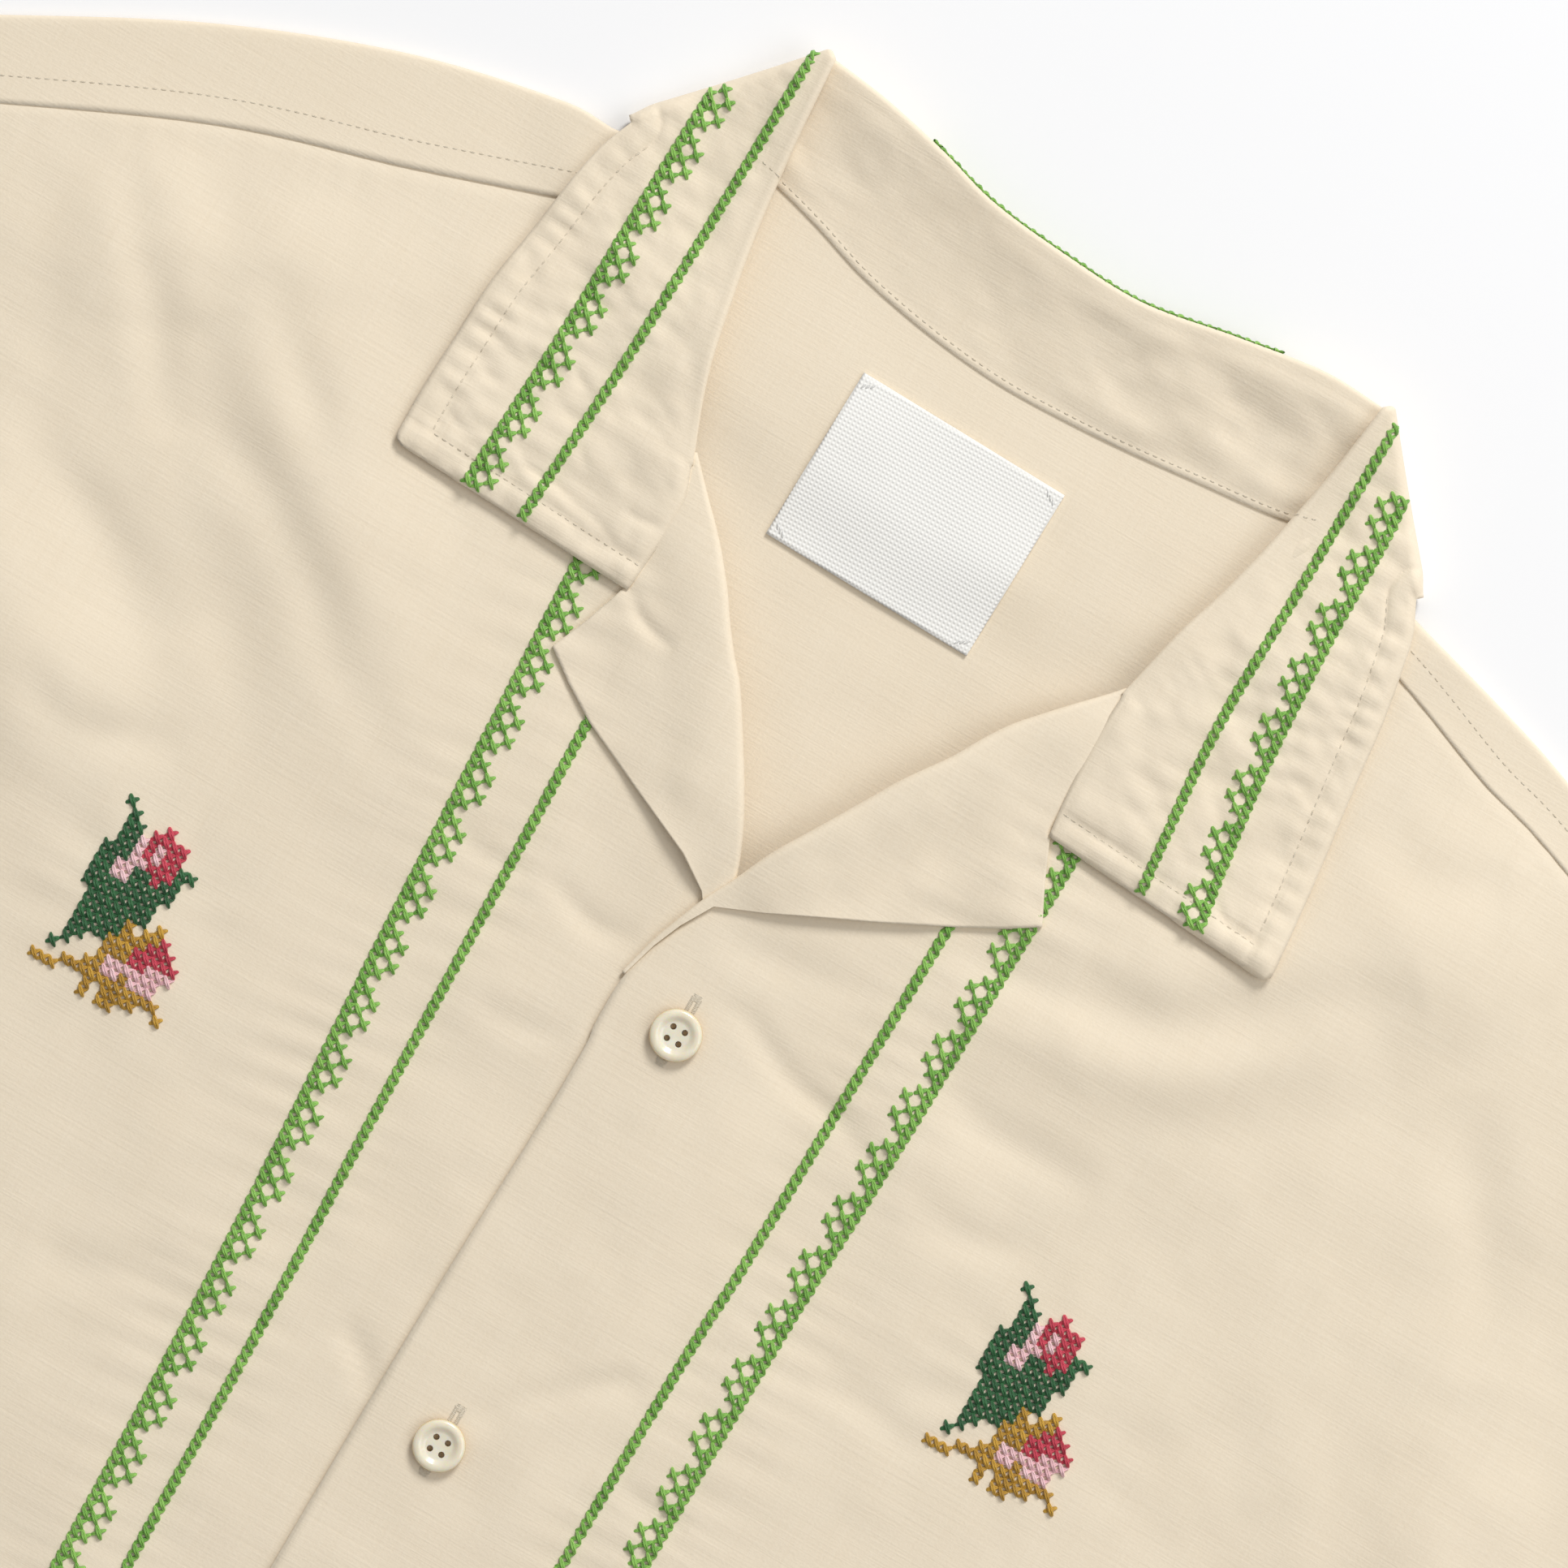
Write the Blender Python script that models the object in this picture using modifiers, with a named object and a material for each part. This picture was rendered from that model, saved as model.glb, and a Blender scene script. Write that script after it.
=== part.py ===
"""Embroidered camp-collar shirt, laid flat on its back, as the pieces of cloth that it is sewn from.

The shirt lies on the plane z = 0 with its neck towards +Y. +X is the right of someone who looks
down on it, so the wearer's left front, which laps over the other, is on the +X side. Left and
right in the names are the wearer's. Sizes are in millimetres; Y in the tables runs up from the
top button, and place() moves it to the middle of the shirt.
"""
import bpy
import bmesh
import math
from mathutils import Matrix, Vector

MM = 0.001

# Cloth, and the room between its layers
WALL = 1.2
LAYER_GAP = 0.3
PITCH = WALL + LAYER_GAP
SEAM_GAP = 0.5

# The body, the sleeves and the front overlap
TOP_BUTTON_Y = 161.0
HEM_Y = -520.0
HALF_WIDTH = 280.0
CUFF_TOP = (450.0, -11.5)
CUFF_BOTTOM = (355.0, -176.0)
UNDER_EDGE_X = 23.0
OVERLAP_RAMP = 14.0
CLOTH_PUFF = 2.0
SLEEVE_PUFF = 2.5
SLEEVE_FOLD_RISE = 0.25
BACK_FOLD_RISE = 0.05
COLLAR_LOFT = 5.0
COLLAR_LOFT_REACH = 28.0
TURNED_AIR = 0.8

# Rows and columns of the cloth grids
LOWER_ROWS = 12
ARMHOLE_ROWS = 13
FLAP_ROWS = 2
SHOULDER_COLUMNS = 6
FRONT_COLUMNS = 3 * SHOULDER_COLUMNS
NECK_COLUMNS = 8
SLEEVE_RINGS = 8
COLLAR_TURN = (-90.0, -45.0, 0.0, 45.0, 90.0)

# Buttons and label
BUTTON_X = 6.0
BUTTON_PITCH = 100.5
BUTTON_COUNT = 5
BUTTON_RADIUS = 5.7
BUTTON_THICKNESS = 2.2
BUTTON_RIM = 2.6
BUTTON_DISH = 0.7
HOLE_RADIUS = 0.7
HOLE_SPACING = 2.8
LABEL_SIZE = (50.0, 40.0)
LABEL_CENTRE = (-5.3, 121.2)
LABEL_TURN = -1.5
LABEL_WALL = 1.0
LABEL_AIR = 0.5

# Armhole from the underarm to the forward seam, and on to the shoulder fold (x is mirrored)
ARMHOLE = ((282.0, -105.0), (262.0, -72.0), (248.0, -15.0), (240.0, 45.0), (237.5, 90.0))

# Centre line of the fold over each shoulder, from the neck outwards
SHOULDER_FOLD = {
    "right": ((-84.2, 165.4), (-99.5, 159.4), (-114.3, 158.9), (-148.5, 151.0), (-189.1, 135.0),
              (-238.0, 109.0)),
    "left": ((82.4, 161.0), (96.5, 154.4), (122.1, 147.2), (142.9, 140.4), (190.0, 122.0),
             (238.0, 103.6)),
}

# Forward shoulder seam, from the neck outwards: the back's edge, lapped on the fronts
FORWARD_SEAM = {
    "right": ((-77.0, 150.2), (-104.1, 141.5), (-135.8, 130.8), (-177.9, 117.4), (-237.5, 90.0)),
    "left": ((76.2, 149.4), (103.7, 141.1), (127.9, 131.9), (153.3, 123.9), (237.5, 90.0)),
}

# Centre edge of each front: buttoning edge up to the break of the lapel, and the neckline
# below the collar; between them the edge follows the roll of the lapel
BUTTON_EDGE = {
    "right": ((23.0, HEM_Y), (23.0, -160.0), (23.0, -20.0), (20.0, 2.0), (9.6, 16.0)),
    "left": ((-12.0, HEM_Y), (-12.0, -141.0), (-9.6, -24.0), (-10.3, 5.9), (-1.6, 27.8)),
}
NECKLINE = {
    "right": ((-55.6, 106.0), (-64.7, 122.7), (-71.3, 139.0), (-76.8, 149.8)),
    "left": ((55.2, 109.4), (62.3, 124.7), (69.4, 137.6), (76.0, 148.8)),
}

# Lapel rows from the break up to the gorge: roll x, roll y, edge x, edge y
LAPEL_ROWS = {
    "right": ((-3.9, 41.8, -10.0, 33.6), (-9.2, 52.0, -25.0, 40.3), (-17.0, 64.5, -43.0, 48.4),
              (-24.5, 74.5, -57.4, 58.4), (-32.0, 83.2, -50.0, 75.6), (-40.0, 93.0, -49.2, 86.0),
              (-49.6, 103.4, -50.6, 100.9)),
    "left": ((4.4, 35.9, 10.5, 32.2), (10.6, 48.0, 26.0, 39.6), (17.7, 60.5, 45.5, 49.0),
             (25.0, 72.5, 61.2, 58.9), (33.0, 84.5, 52.6, 75.2), (40.5, 95.3, 50.6, 86.5),
             (48.7, 104.6, 50.5, 102.0)),
}
LAPEL_OUTWARD = {"right": (0.84, 0.54), "left": (-0.85, 0.53)}

# Collar leaf rows from its lower edge to the shoulder: roll x, roll y, edge x, edge y, seam x, seam y
# The first rows lie along the gorge, where the leaf has no stand below it.
GORGE_ROWS = {
    "right": ((-51.3, 76.7, -108.8, 79.3), (-50.7, 91.0, -109.0, 93.0)),
    "left": ((53.7, 76.1, 109.0, 72.3), (52.3, 90.0, 108.0, 88.0)),
}
LEAF_ROWS = {
    "right": ((-51.9, 106.1, -108.4, 107.0, -54.7, 107.3), (-58.5, 123.5, -107.8, 119.5, -63.5, 123.5),
              (-62.3, 139.0, -105.6, 134.0, -70.0, 140.0), (-65.5, 157.0, -103.8, 147.0, -76.0, 154.5),
              (-67.6, 177.0, -101.8, 156.0, -80.2, 163.8)),
    "left": ((51.9, 109.7, 105.6, 108.0, 54.4, 110.7), (56.3, 126.5, 104.0, 121.0, 61.2, 125.6),
             (60.6, 139.5, 102.6, 133.0, 68.2, 138.6), (64.2, 154.0, 100.7, 143.5, 74.0, 151.2),
             (67.8, 173.0, 99.0, 151.5, 77.8, 158.8)),
}

# Where the collar turns over the shoulder: axis of the fold at roll, outer edge and neck seam
COLLAR_WRAP = {
    "right": (-68.8, 195.1, -99.0, 163.0, -82.2, 170.2),
    "left": (69.9, 189.2, 95.7, 158.7, 80.2, 164.7),
}
WRAP_OUTWARD = {"right": (-0.745, 0.668), "left": (0.763, 0.646)}

# Collar behind the neck, from the wearer's right to the left: top fold, neck seam, hidden edge
BACK_FOLD = ((-68.8, 195.1), (-54.9, 193.2), (-38.8, 189.6), (-24.3, 185.6), (-6.2, 183.6),
             (14.1, 182.9), (35.2, 186.6), (55.0, 189.6), (69.9, 189.2))
BACK_SEAM = ((-82.2, 170.2), (-66.9, 167.1), (-54.1, 163.7), (-39.6, 159.1), (-21.4, 155.6),
             (-4.1, 153.9), (11.8, 154.2), (27.5, 155.3), (42.6, 156.9), (63.8, 159.5), (80.2, 164.7))
FALL_EDGE_MIDDLE_Y = 134.0
FALL_EDGE_RISE = 28.2
FALL_HALF_WIDTH = 98.5

# The largest folds of the upper layers: start x, y, middle x, y, end x, y, half width, height
FOLDS = (
    (-141.0, 92.0, -112.0, 50.0, -66.0, 14.0, 30.0, 3.2),
    (-190.0, 106.0, -178.0, 92.0, -170.0, 72.0, 22.0, 2.2),
    (-172.0, 8.0, -152.0, 0.0, -132.0, -10.0, 24.0, 2.6),
    (70.0, 48.0, 124.0, 60.0, 148.0, 128.0, 30.0, 3.0),
    (8.0, 20.0, -20.0, 68.0, -56.0, 112.0, 32.0, 1.6),
    (2.0, 28.0, 20.0, 70.0, 54.0, 112.0, 32.0, 1.6),
    (-262.0, -110.0, -220.0, -60.0, -185.0, 10.0, 28.0, 4.0),
    (262.0, -110.0, 222.0, -55.0, 190.0, 15.0, 28.0, 4.0),
    (-205.0, -175.0, -172.0, -300.0, -195.0, -440.0, 36.0, 4.0),
    (-95.0, -210.0, -112.0, -330.0, -82.0, -460.0, 34.0, 3.2),
    (92.0, -200.0, 112.0, -320.0, 84.0, -450.0, 34.0, 3.4),
    (208.0, -170.0, 178.0, -290.0, 200.0, -430.0, 36.0, 4.2),
)
FOLD_STEPS = 10

CREAM = (0.85, 0.75, 0.58, 1.0)
PEARL = (0.86, 0.80, 0.66, 1.0)
WOVEN_WHITE = (0.88, 0.86, 0.80, 1.0)


def smooth(t):
    """Soft step from 0 to 1."""
    t = min(max(t, 0.0), 1.0)
    return t * t * (3.0 - 2.0 * t)


def mix(a, b, t):
    """Point or number part of the way from a to b."""
    if isinstance(a, (int, float)):
        return a + (b - a) * t
    return tuple(p + (q - p) * t for p, q in zip(a, b))


def place(x, y, z):
    """Point of the pattern, in millimetres, as a point of the model, in metres."""
    return Vector((x, y + TOP_BUTTON_Y, z)) * MM


def spaced(table, count):
    """count + 1 points, evenly spaced along the smooth curve through the table's points."""
    ends = [mix(table[0], table[1], -1.0)] + list(table) + [mix(table[-1], table[-2], -1.0)]
    fine = []
    for before, start, end, after in zip(ends, ends[1:], ends[2:], ends[3:]):
        for step in range(8):
            t = step / 8.0
            fine.append(tuple(
                0.5 * (2 * q + (r - p) * t + (2 * p - 5 * q + 4 * r - s) * t * t
                       + (3 * q - p - 3 * r + s) * t ** 3)
                for p, q, r, s in zip(before, start, end, after)))
    fine.append(tuple(table[-1]))
    lengths = [0.0]
    for p, q in zip(fine, fine[1:]):
        lengths.append(lengths[-1] + math.dist(p, q))
    points = []
    piece = 0
    for index in range(count + 1):
        want = lengths[-1] * index / count
        while piece < len(fine) - 2 and lengths[piece + 1] < want:
            piece += 1
        span = lengths[piece + 1] - lengths[piece]
        points.append(mix(fine[piece], fine[piece + 1], (want - lengths[piece]) / span))
    return points


def patch(bottom, top, start, end):
    """Grid of (x, y) between four sides of points; the rows run from the bottom side to the top."""
    grid = []
    for j, (left, right) in enumerate(zip(start, end)):
        v = j / (len(start) - 1)
        row = []
        for i, (low, high) in enumerate(zip(bottom, top)):
            u = i / (len(bottom) - 1)
            corners = mix(mix(bottom[0], bottom[-1], u), mix(top[0], top[-1], u), v)
            row.append(tuple(a + b - c for a, b, c in
                             zip(mix(low, high, v), mix(left, right, u), corners)))
        grid.append(row)
    return grid


def fall_edge_y(x):
    """Y of the collar's hidden edge, under the back."""
    return FALL_EDGE_MIDDLE_Y + FALL_EDGE_RISE * (x / FALL_HALF_WIDTH) ** 2


def lift(x, y):
    """How far the back is raised by the collar that passes under it."""
    ramp = 20.0
    over_collar = smooth((y - fall_edge_y(x) + 14.0 + ramp) / ramp)
    return PITCH * over_collar * smooth((124.0 - abs(x)) / ramp)


def fold_height(x, y, row):
    """Height of one soft fold at a point."""
    x1, y1, x2, y2, x3, y3, half, height = row
    nearest = half
    where = 0.0
    for step in range(FOLD_STEPS + 1):
        t = step / FOLD_STEPS
        px = x1 * (1 - t) ** 2 + 2 * x2 * t * (1 - t) + x3 * t * t
        py = y1 * (1 - t) ** 2 + 2 * y2 * t * (1 - t) + y3 * t * t
        distance = math.hypot(x - px, y - py)
        if distance < nearest:
            nearest = distance
            where = t
    across = 1.0 - (nearest / half) ** 2
    return height * across * across * (0.35 + 0.65 * math.sin(math.pi * where))


def drape(x, y):
    """Height of the air and folds under the upper layers, none at the sides and shoulders."""
    half_width = mix(238.0, HALF_WIDTH, smooth((-60.0 - y) / 45.0))
    shoulder_y = 165.0 - 0.37 * (abs(x) - 84.0)
    fade = smooth((half_width - abs(x)) / 40.0) * smooth((shoulder_y - y) / 45.0)
    fade *= 0.4 + 0.6 * smooth((y - HEM_Y) / 50.0)
    return fade * (CLOTH_PUFF + sum(fold_height(x, y, row) for row in FOLDS))


def back_height(x, y):
    """Middle of the back's cloth."""
    return WALL / 2 + lift(x, y)


def under_height(x, y):
    """Middle of a front that lies straight on the back."""
    return back_height(x, y) + PITCH + drape(x, y)


def over_height(x, y):
    """Middle of the wearer's left front, one layer up where it laps over the other."""
    return under_height(x, y) + PITCH * smooth((UNDER_EDGE_X + 2.5 + OVERLAP_RAMP - x) / OVERLAP_RAMP)


FRONT_HEIGHT = {"right": under_height, "left": over_height}
SIDE_SIGN = {"right": -1.0, "left": 1.0}


def raised(grid, height):
    """The grid's points with their heights."""
    return [[(x, y, height(x, y)) for x, y in row] for row in grid]


def material(name, colour, roughness):
    """Plain finish for one piece."""
    finish = bpy.data.materials.new(name)
    finish.use_nodes = True
    shader = finish.node_tree.nodes["Principled BSDF"]
    shader.inputs["Base Color"].default_value = colour
    shader.inputs["Roughness"].default_value = roughness
    shader.inputs["Metallic"].default_value = 0.0
    return finish


def cloth_piece(name, grids, collection, wall=WALL, closed=False, colour=CREAM):
    """One wall of cloth from grids of points that share their edges."""
    mesh_tools = bmesh.new()
    for grid in grids:
        rows = [[mesh_tools.verts.new(place(*point)) for point in row] for row in grid]
        for low, high in zip(rows, rows[1:]):
            count = len(low) if closed else len(low) - 1
            for i in range(count):
                j = (i + 1) % len(low)
                mesh_tools.faces.new((low[i], low[j], high[j], high[i]))
    bmesh.ops.remove_doubles(mesh_tools, verts=mesh_tools.verts, dist=0.00001)
    bmesh.ops.recalc_face_normals(mesh_tools, faces=mesh_tools.faces)
    mesh = bpy.data.meshes.new(name)
    mesh_tools.to_mesh(mesh)
    mesh_tools.free()
    mesh.materials.append(material(name + "_cloth", colour, 0.85))
    piece = bpy.data.objects.new(name, mesh)
    collection.objects.link(piece)
    thickness = piece.modifiers.new("Wall", "SOLIDIFY")
    thickness.thickness = wall * MM
    thickness.offset = 0.0
    thickness.use_even_offset = True
    return piece


def armhole_points(side):
    """Points up an armhole: to the forward seam, then to the shoulder fold."""
    sign = SIDE_SIGN[side]
    lower = spaced([(sign * x, y) for x, y in ARMHOLE], ARMHOLE_ROWS)
    upper = spaced([lower[-1], SHOULDER_FOLD[side][-1]], FLAP_ROWS)
    return lower + upper[1:]


def side_seam_points(side, rows):
    """Points up a side seam, from the hem to the underarm."""
    sign = SIDE_SIGN[side]
    return spaced([(sign * HALF_WIDTH, HEM_Y), (sign * 281.0, -300.0), (sign * 282.0, -105.0)], rows)


def build_back(collection):
    """The back, in one piece with the parts that fold over the shoulders to the forward seams."""
    lower_rows = 5
    shoulders = {side: spaced(SHOULDER_FOLD[side], SHOULDER_COLUMNS) for side in SHOULDER_FOLD}
    neck = [(x, y - SEAM_GAP) for x, y in spaced(BACK_SEAM, NECK_COLUMNS)]
    top = shoulders["right"][::-1] + neck[1:-1] + shoulders["left"]
    start = side_seam_points("right", lower_rows)[:-1] + armhole_points("right")
    end = side_seam_points("left", lower_rows)[:-1] + armhole_points("left")
    bottom = spaced([(-HALF_WIDTH, HEM_Y), (HALF_WIDTH, HEM_Y)], len(top) - 1)
    grids = [raised(patch(bottom, top, start, end), back_height)]
    grids[0][-1] = [(x, y, z + BACK_FOLD_RISE) for x, y, z in grids[0][-1]]
    for side, fold in shoulders.items():
        seam = spaced(FORWARD_SEAM[side], SHOULDER_COLUMNS)
        seam = [(x, y + SEAM_GAP / 2) for x, y in seam]
        arm = armhole_points(side)[ARMHOLE_ROWS:]
        neck_end = spaced([seam[0], fold[0]], FLAP_ROWS)
        arm_end = [seam[-1]] + arm[1:]
        flap = patch(seam, fold, neck_end, arm_end)
        rows = raised(flap, lambda x, y: back_height(x, y) + PITCH + drape(x, y))
        rows.append([(x, y + PITCH / 2, back_height(x, y) + PITCH / 2) for x, y in fold])
        rows.append([(x, y, back_height(x, y) + BACK_FOLD_RISE) for x, y in fold])
        grids.append(rows)
    return cloth_piece("back", grids, collection)


def build_front(side, collection):
    """One front, from its side seam to its buttoning edge, the roll line and the neckline."""
    sign = SIDE_SIGN[side]
    ox, oy = LAPEL_OUTWARD[side]
    roll = [(row[0] - ox * SEAM_GAP, row[1] - oy * SEAM_GAP) for row in LAPEL_ROWS[side]]
    edge_rows = LOWER_ROWS + ARMHOLE_ROWS - len(roll) - len(NECKLINE[side])
    centre = spaced(BUTTON_EDGE[side], edge_rows) + roll + list(NECKLINE[side])
    outer = side_seam_points(side, LOWER_ROWS)[:-1] + armhole_points(side)[:ARMHOLE_ROWS + 1]
    outer[-1] = (outer[-1][0], outer[-1][1] - SEAM_GAP / 2)
    bottom = spaced([(sign * HALF_WIDTH, HEM_Y), centre[0]], FRONT_COLUMNS)
    seam = spaced(FORWARD_SEAM[side], SHOULDER_COLUMNS)
    top = [centre[-1]]
    for start, end in zip(seam, seam[1:]):
        for third in (1, 2, 3):
            x, y = mix(start, end, third / 3.0)
            top.append((x, y - SEAM_GAP / 2))
    top.reverse()
    grid = patch(bottom, top, outer, centre)
    return cloth_piece("front_" + side, [raised(grid, FRONT_HEIGHT[side])], collection)


def build_facing(side, collection):
    """The facing where it shows: round the roll line and over the turned-out lapel."""
    below = FRONT_HEIGHT[side]
    ox, oy = LAPEL_OUTWARD[side]
    rows = []
    for roll_x, roll_y, edge_x, edge_y in LAPEL_ROWS[side]:
        low = below(roll_x, roll_y)
        row = [(roll_x, roll_y, low),
               (roll_x + ox * PITCH / 2, roll_y + oy * PITCH / 2, low + PITCH / 2)]
        for step in range(5):
            x, y = mix((roll_x, roll_y), (edge_x, edge_y), step / 4.0)
            row.append((x, y, below(x, y) + PITCH + TURNED_AIR * smooth(step / 1.0)))
        rows.append(row)
    return cloth_piece("facing_" + side, [rows], collection)


def build_sleeve(side, collection):
    """A short sleeve pressed flat: one tube of cloth, open at the armhole and the cuff."""
    sign = SIDE_SIGN[side]
    armhole = [(x + sign * SEAM_GAP, y + SEAM_GAP / 2) for x, y in armhole_points(side)]
    cuff = spaced([(sign * CUFF_BOTTOM[0], CUFF_BOTTOM[1]), (sign * CUFF_TOP[0], CUFF_TOP[1])],
                  len(armhole) - 1)
    underarm = spaced([armhole[0], cuff[0]], SLEEVE_RINGS)
    top_edge = spaced([armhole[-1], cuff[-1]], SLEEVE_RINGS)
    rings = []
    for j, row in enumerate(patch(armhole, cuff, underarm, top_edge)):
        out = j / SLEEVE_RINGS
        count = len(row) - 1
        upper = []
        for i, (x, y) in enumerate(row):
            across = i / count
            wave = 0.6 + 0.4 * math.sin(math.pi * (3.0 * across + 1.5 * out))
            rise = SLEEVE_PUFF * smooth(out * 3.0) * math.sin(math.pi * across) * wave
            upper.append((x, y, WALL / 2 + PITCH + rise))
        lower = [(x, y, WALL / 2) for x, y in row]
        for end in (0, -1):
            lower[end] = (row[end][0], row[end][1], WALL / 2 + SLEEVE_FOLD_RISE)
        step = Vector(row[-1]) - Vector(row[0])
        step *= PITCH / 2 / step.length
        low_fold = (row[0][0] - step.x, row[0][1] - step.y, WALL / 2 + PITCH / 2)
        high_fold = (row[-1][0] + step.x, row[-1][1] + step.y, WALL / 2 + PITCH / 2)
        rings.append(lower + [high_fold] + upper[::-1] + [low_fold])
    return cloth_piece("sleeve_" + side, [rings], collection, closed=True)


def collar_loft(distance, reach, height):
    """How far the soft roll of the collar stands up, at a distance from its fold."""
    if reach < 0.1 or distance >= reach:
        return 0.0
    return height * (1.0 - distance / reach) ** 2


def collar_station(roll, edge, seam, outward, angle, behind):
    """One section of the collar: its stand and roll, then its fall from the roll to the edge.

    outward and angle say which way the section faces as the collar turns over the shoulder:
    90 degrees is the leaf on top, -90 the part behind the neck, under the back.
    """
    turn = math.radians(angle)
    facing = Vector((outward[0] * math.cos(turn), outward[1] * math.cos(turn), math.sin(turn)))
    away = Vector(roll) - Vector(edge)
    away.normalize()
    reach = min(COLLAR_LOFT_REACH, math.dist(roll, seam)) if seam else 0.0
    loft = COLLAR_LOFT * smooth(reach / COLLAR_LOFT_REACH)

    def point(x, y, radius, forward=0.0):
        """Point at a distance from the axis of the turn."""
        air = drape(x, y) if angle == 90.0 else 0.0
        z = WALL / 2 + PITCH / 2 + lift(x, y) + air + facing.z * radius
        if behind and radius > PITCH:
            z = WALL / 2
        z += collar_loft(math.dist((x, y), roll), reach, loft)
        if angle == 90.0 and radius > PITCH:
            z += TURNED_AIR * smooth(math.dist((x, y), roll) / 10.0)
        return (x + facing.x * radius + away.x * forward, y + facing.y * radius + away.y * forward, z)

    fall = []
    for step in range(5):
        x, y = mix(roll, edge, step / 4.0)
        fall.append(point(x, y, 1.5 * PITCH))
    stand = []
    if seam:
        for step in range(3):
            x, y = mix(seam, roll, step / 3.0)
            stand.append(point(x, y, 0.5 * PITCH))
        stand.append(point(roll[0], roll[1], 0.5 * PITCH))
        stand.append(point(roll[0], roll[1], PITCH, forward=PITCH / 2))
        stand.append(fall[0])
    return stand, fall


def side_stations(side):
    """Sections of one leaf, from its lower edge to the turn over the shoulder."""
    stations = []
    for roll_x, roll_y, edge_x, edge_y in GORGE_ROWS[side]:
        stations.append(collar_station((roll_x, roll_y), (edge_x, edge_y), None, (0.0, 0.0), 90.0, False))
    for row in LEAF_ROWS[side]:
        stations.append(collar_station(row[0:2], row[2:4], row[4:6], (0.0, 0.0), 90.0, False))
    wrap = COLLAR_WRAP[side]
    for angle in COLLAR_TURN[::-1]:
        stations.append(collar_station(wrap[0:2], wrap[2:4], wrap[4:6], WRAP_OUTWARD[side], angle,
                                       angle == -90.0))
    return stations


def build_collar(collection):
    """The collar: a band folded at its roll line, which passes under the back of the neck."""
    right = side_stations("right")
    left = side_stations("left")
    folds = spaced(BACK_FOLD, NECK_COLUMNS)
    seams = spaced(BACK_SEAM, NECK_COLUMNS)
    edge_table = [(x, fall_edge_y(x)) for x in (-98.5, -60.0, 0.0, 60.0, 95.7)]
    edge_table[0] = COLLAR_WRAP["right"][2:4]
    edge_table[-1] = COLLAR_WRAP["left"][2:4]
    edges = spaced(edge_table, NECK_COLUMNS)
    middle = []
    for roll, edge, seam in list(zip(folds, edges, seams))[1:-1]:
        middle.append(collar_station(roll, edge, seam, (0.0, 0.0), -90.0, True))
    stations = right + middle + left[::-1]
    fall = [fall for stand, fall in stations]
    stand = [stand for stand, fall in stations if stand]
    return cloth_piece("collar", [fall, stand], collection)


def build_label(collection):
    """Blank woven label, stitched inside the back of the neck."""
    width, height = LABEL_SIZE
    turn = math.radians(LABEL_TURN)
    columns, rows = 6, 5
    grid = []
    for j in range(rows + 1):
        row = []
        for i in range(columns + 1):
            u = width * (i / columns - 0.5)
            v = height * (j / rows - 0.5)
            x = LABEL_CENTRE[0] + u * math.cos(turn) - v * math.sin(turn)
            y = LABEL_CENTRE[1] + u * math.sin(turn) + v * math.cos(turn)
            row.append((x, y, back_height(x, y) + (WALL + LABEL_WALL) / 2 + LABEL_AIR))
        grid.append(row)
    return cloth_piece("neck_label", [grid], collection, wall=LABEL_WALL, colour=WOVEN_WHITE)


def button_mesh(cutters):
    """Four-hole shirt button: a turned body with a raised rim, and its holes cut."""
    inner = BUTTON_RADIUS - BUTTON_RIM
    profile = ((0.0, BUTTON_THICKNESS - BUTTON_DISH), (inner, BUTTON_THICKNESS - BUTTON_DISH),
               (inner + 0.6, BUTTON_THICKNESS), (BUTTON_RADIUS - 0.5, BUTTON_THICKNESS),
               (BUTTON_RADIUS, BUTTON_THICKNESS - 0.6), (BUTTON_RADIUS - 0.8, 0.0), (0.0, 0.0))
    outline = bmesh.new()
    corners = [outline.verts.new(Vector((r, 0.0, z)) * MM) for r, z in profile]
    for first, second in zip(corners, corners[1:]):
        outline.edges.new((first, second))
    mesh = bpy.data.meshes.new("button_profile")
    outline.to_mesh(mesh)
    outline.free()
    body = bpy.data.objects.new("button_body", mesh)
    cutters.objects.link(body)
    body.hide_render = True
    body.display_type = "WIRE"
    turned = body.modifiers.new("Turn", "SCREW")
    turned.steps = 24
    turned.render_steps = 24
    turned.use_merge_vertices = True
    turned.merge_threshold = 0.00001
    holes = bmesh.new()
    for sx in (-0.5, 0.5):
        for sy in (-0.5, 0.5):
            spot = Matrix.Translation(Vector((sx * HOLE_SPACING, sy * HOLE_SPACING,
                                              BUTTON_THICKNESS / 2)) * MM)
            bmesh.ops.create_cone(holes, cap_ends=True, segments=8, radius1=HOLE_RADIUS * MM,
                                  radius2=HOLE_RADIUS * MM, depth=2.0 * BUTTON_THICKNESS * MM,
                                  matrix=spot)
    hole_mesh = bpy.data.meshes.new("button_holes")
    holes.to_mesh(hole_mesh)
    holes.free()
    drill = bpy.data.objects.new("button_holes", hole_mesh)
    cutters.objects.link(drill)
    drill.hide_render = True
    drill.display_type = "WIRE"
    cut = body.modifiers.new("Holes", "BOOLEAN")
    cut.operation = "DIFFERENCE"
    cut.object = drill
    viewed = body.evaluated_get(bpy.context.evaluated_depsgraph_get())
    finished = bpy.data.meshes.new_from_object(viewed)
    finished.name = "shirt_button"
    finished.shade_smooth()
    finished.set_sharp_from_angle(angle=math.radians(35.0))
    finished.materials.clear()
    finished.materials.append(material("button_pearl", PEARL, 0.25))
    return finished


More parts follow.
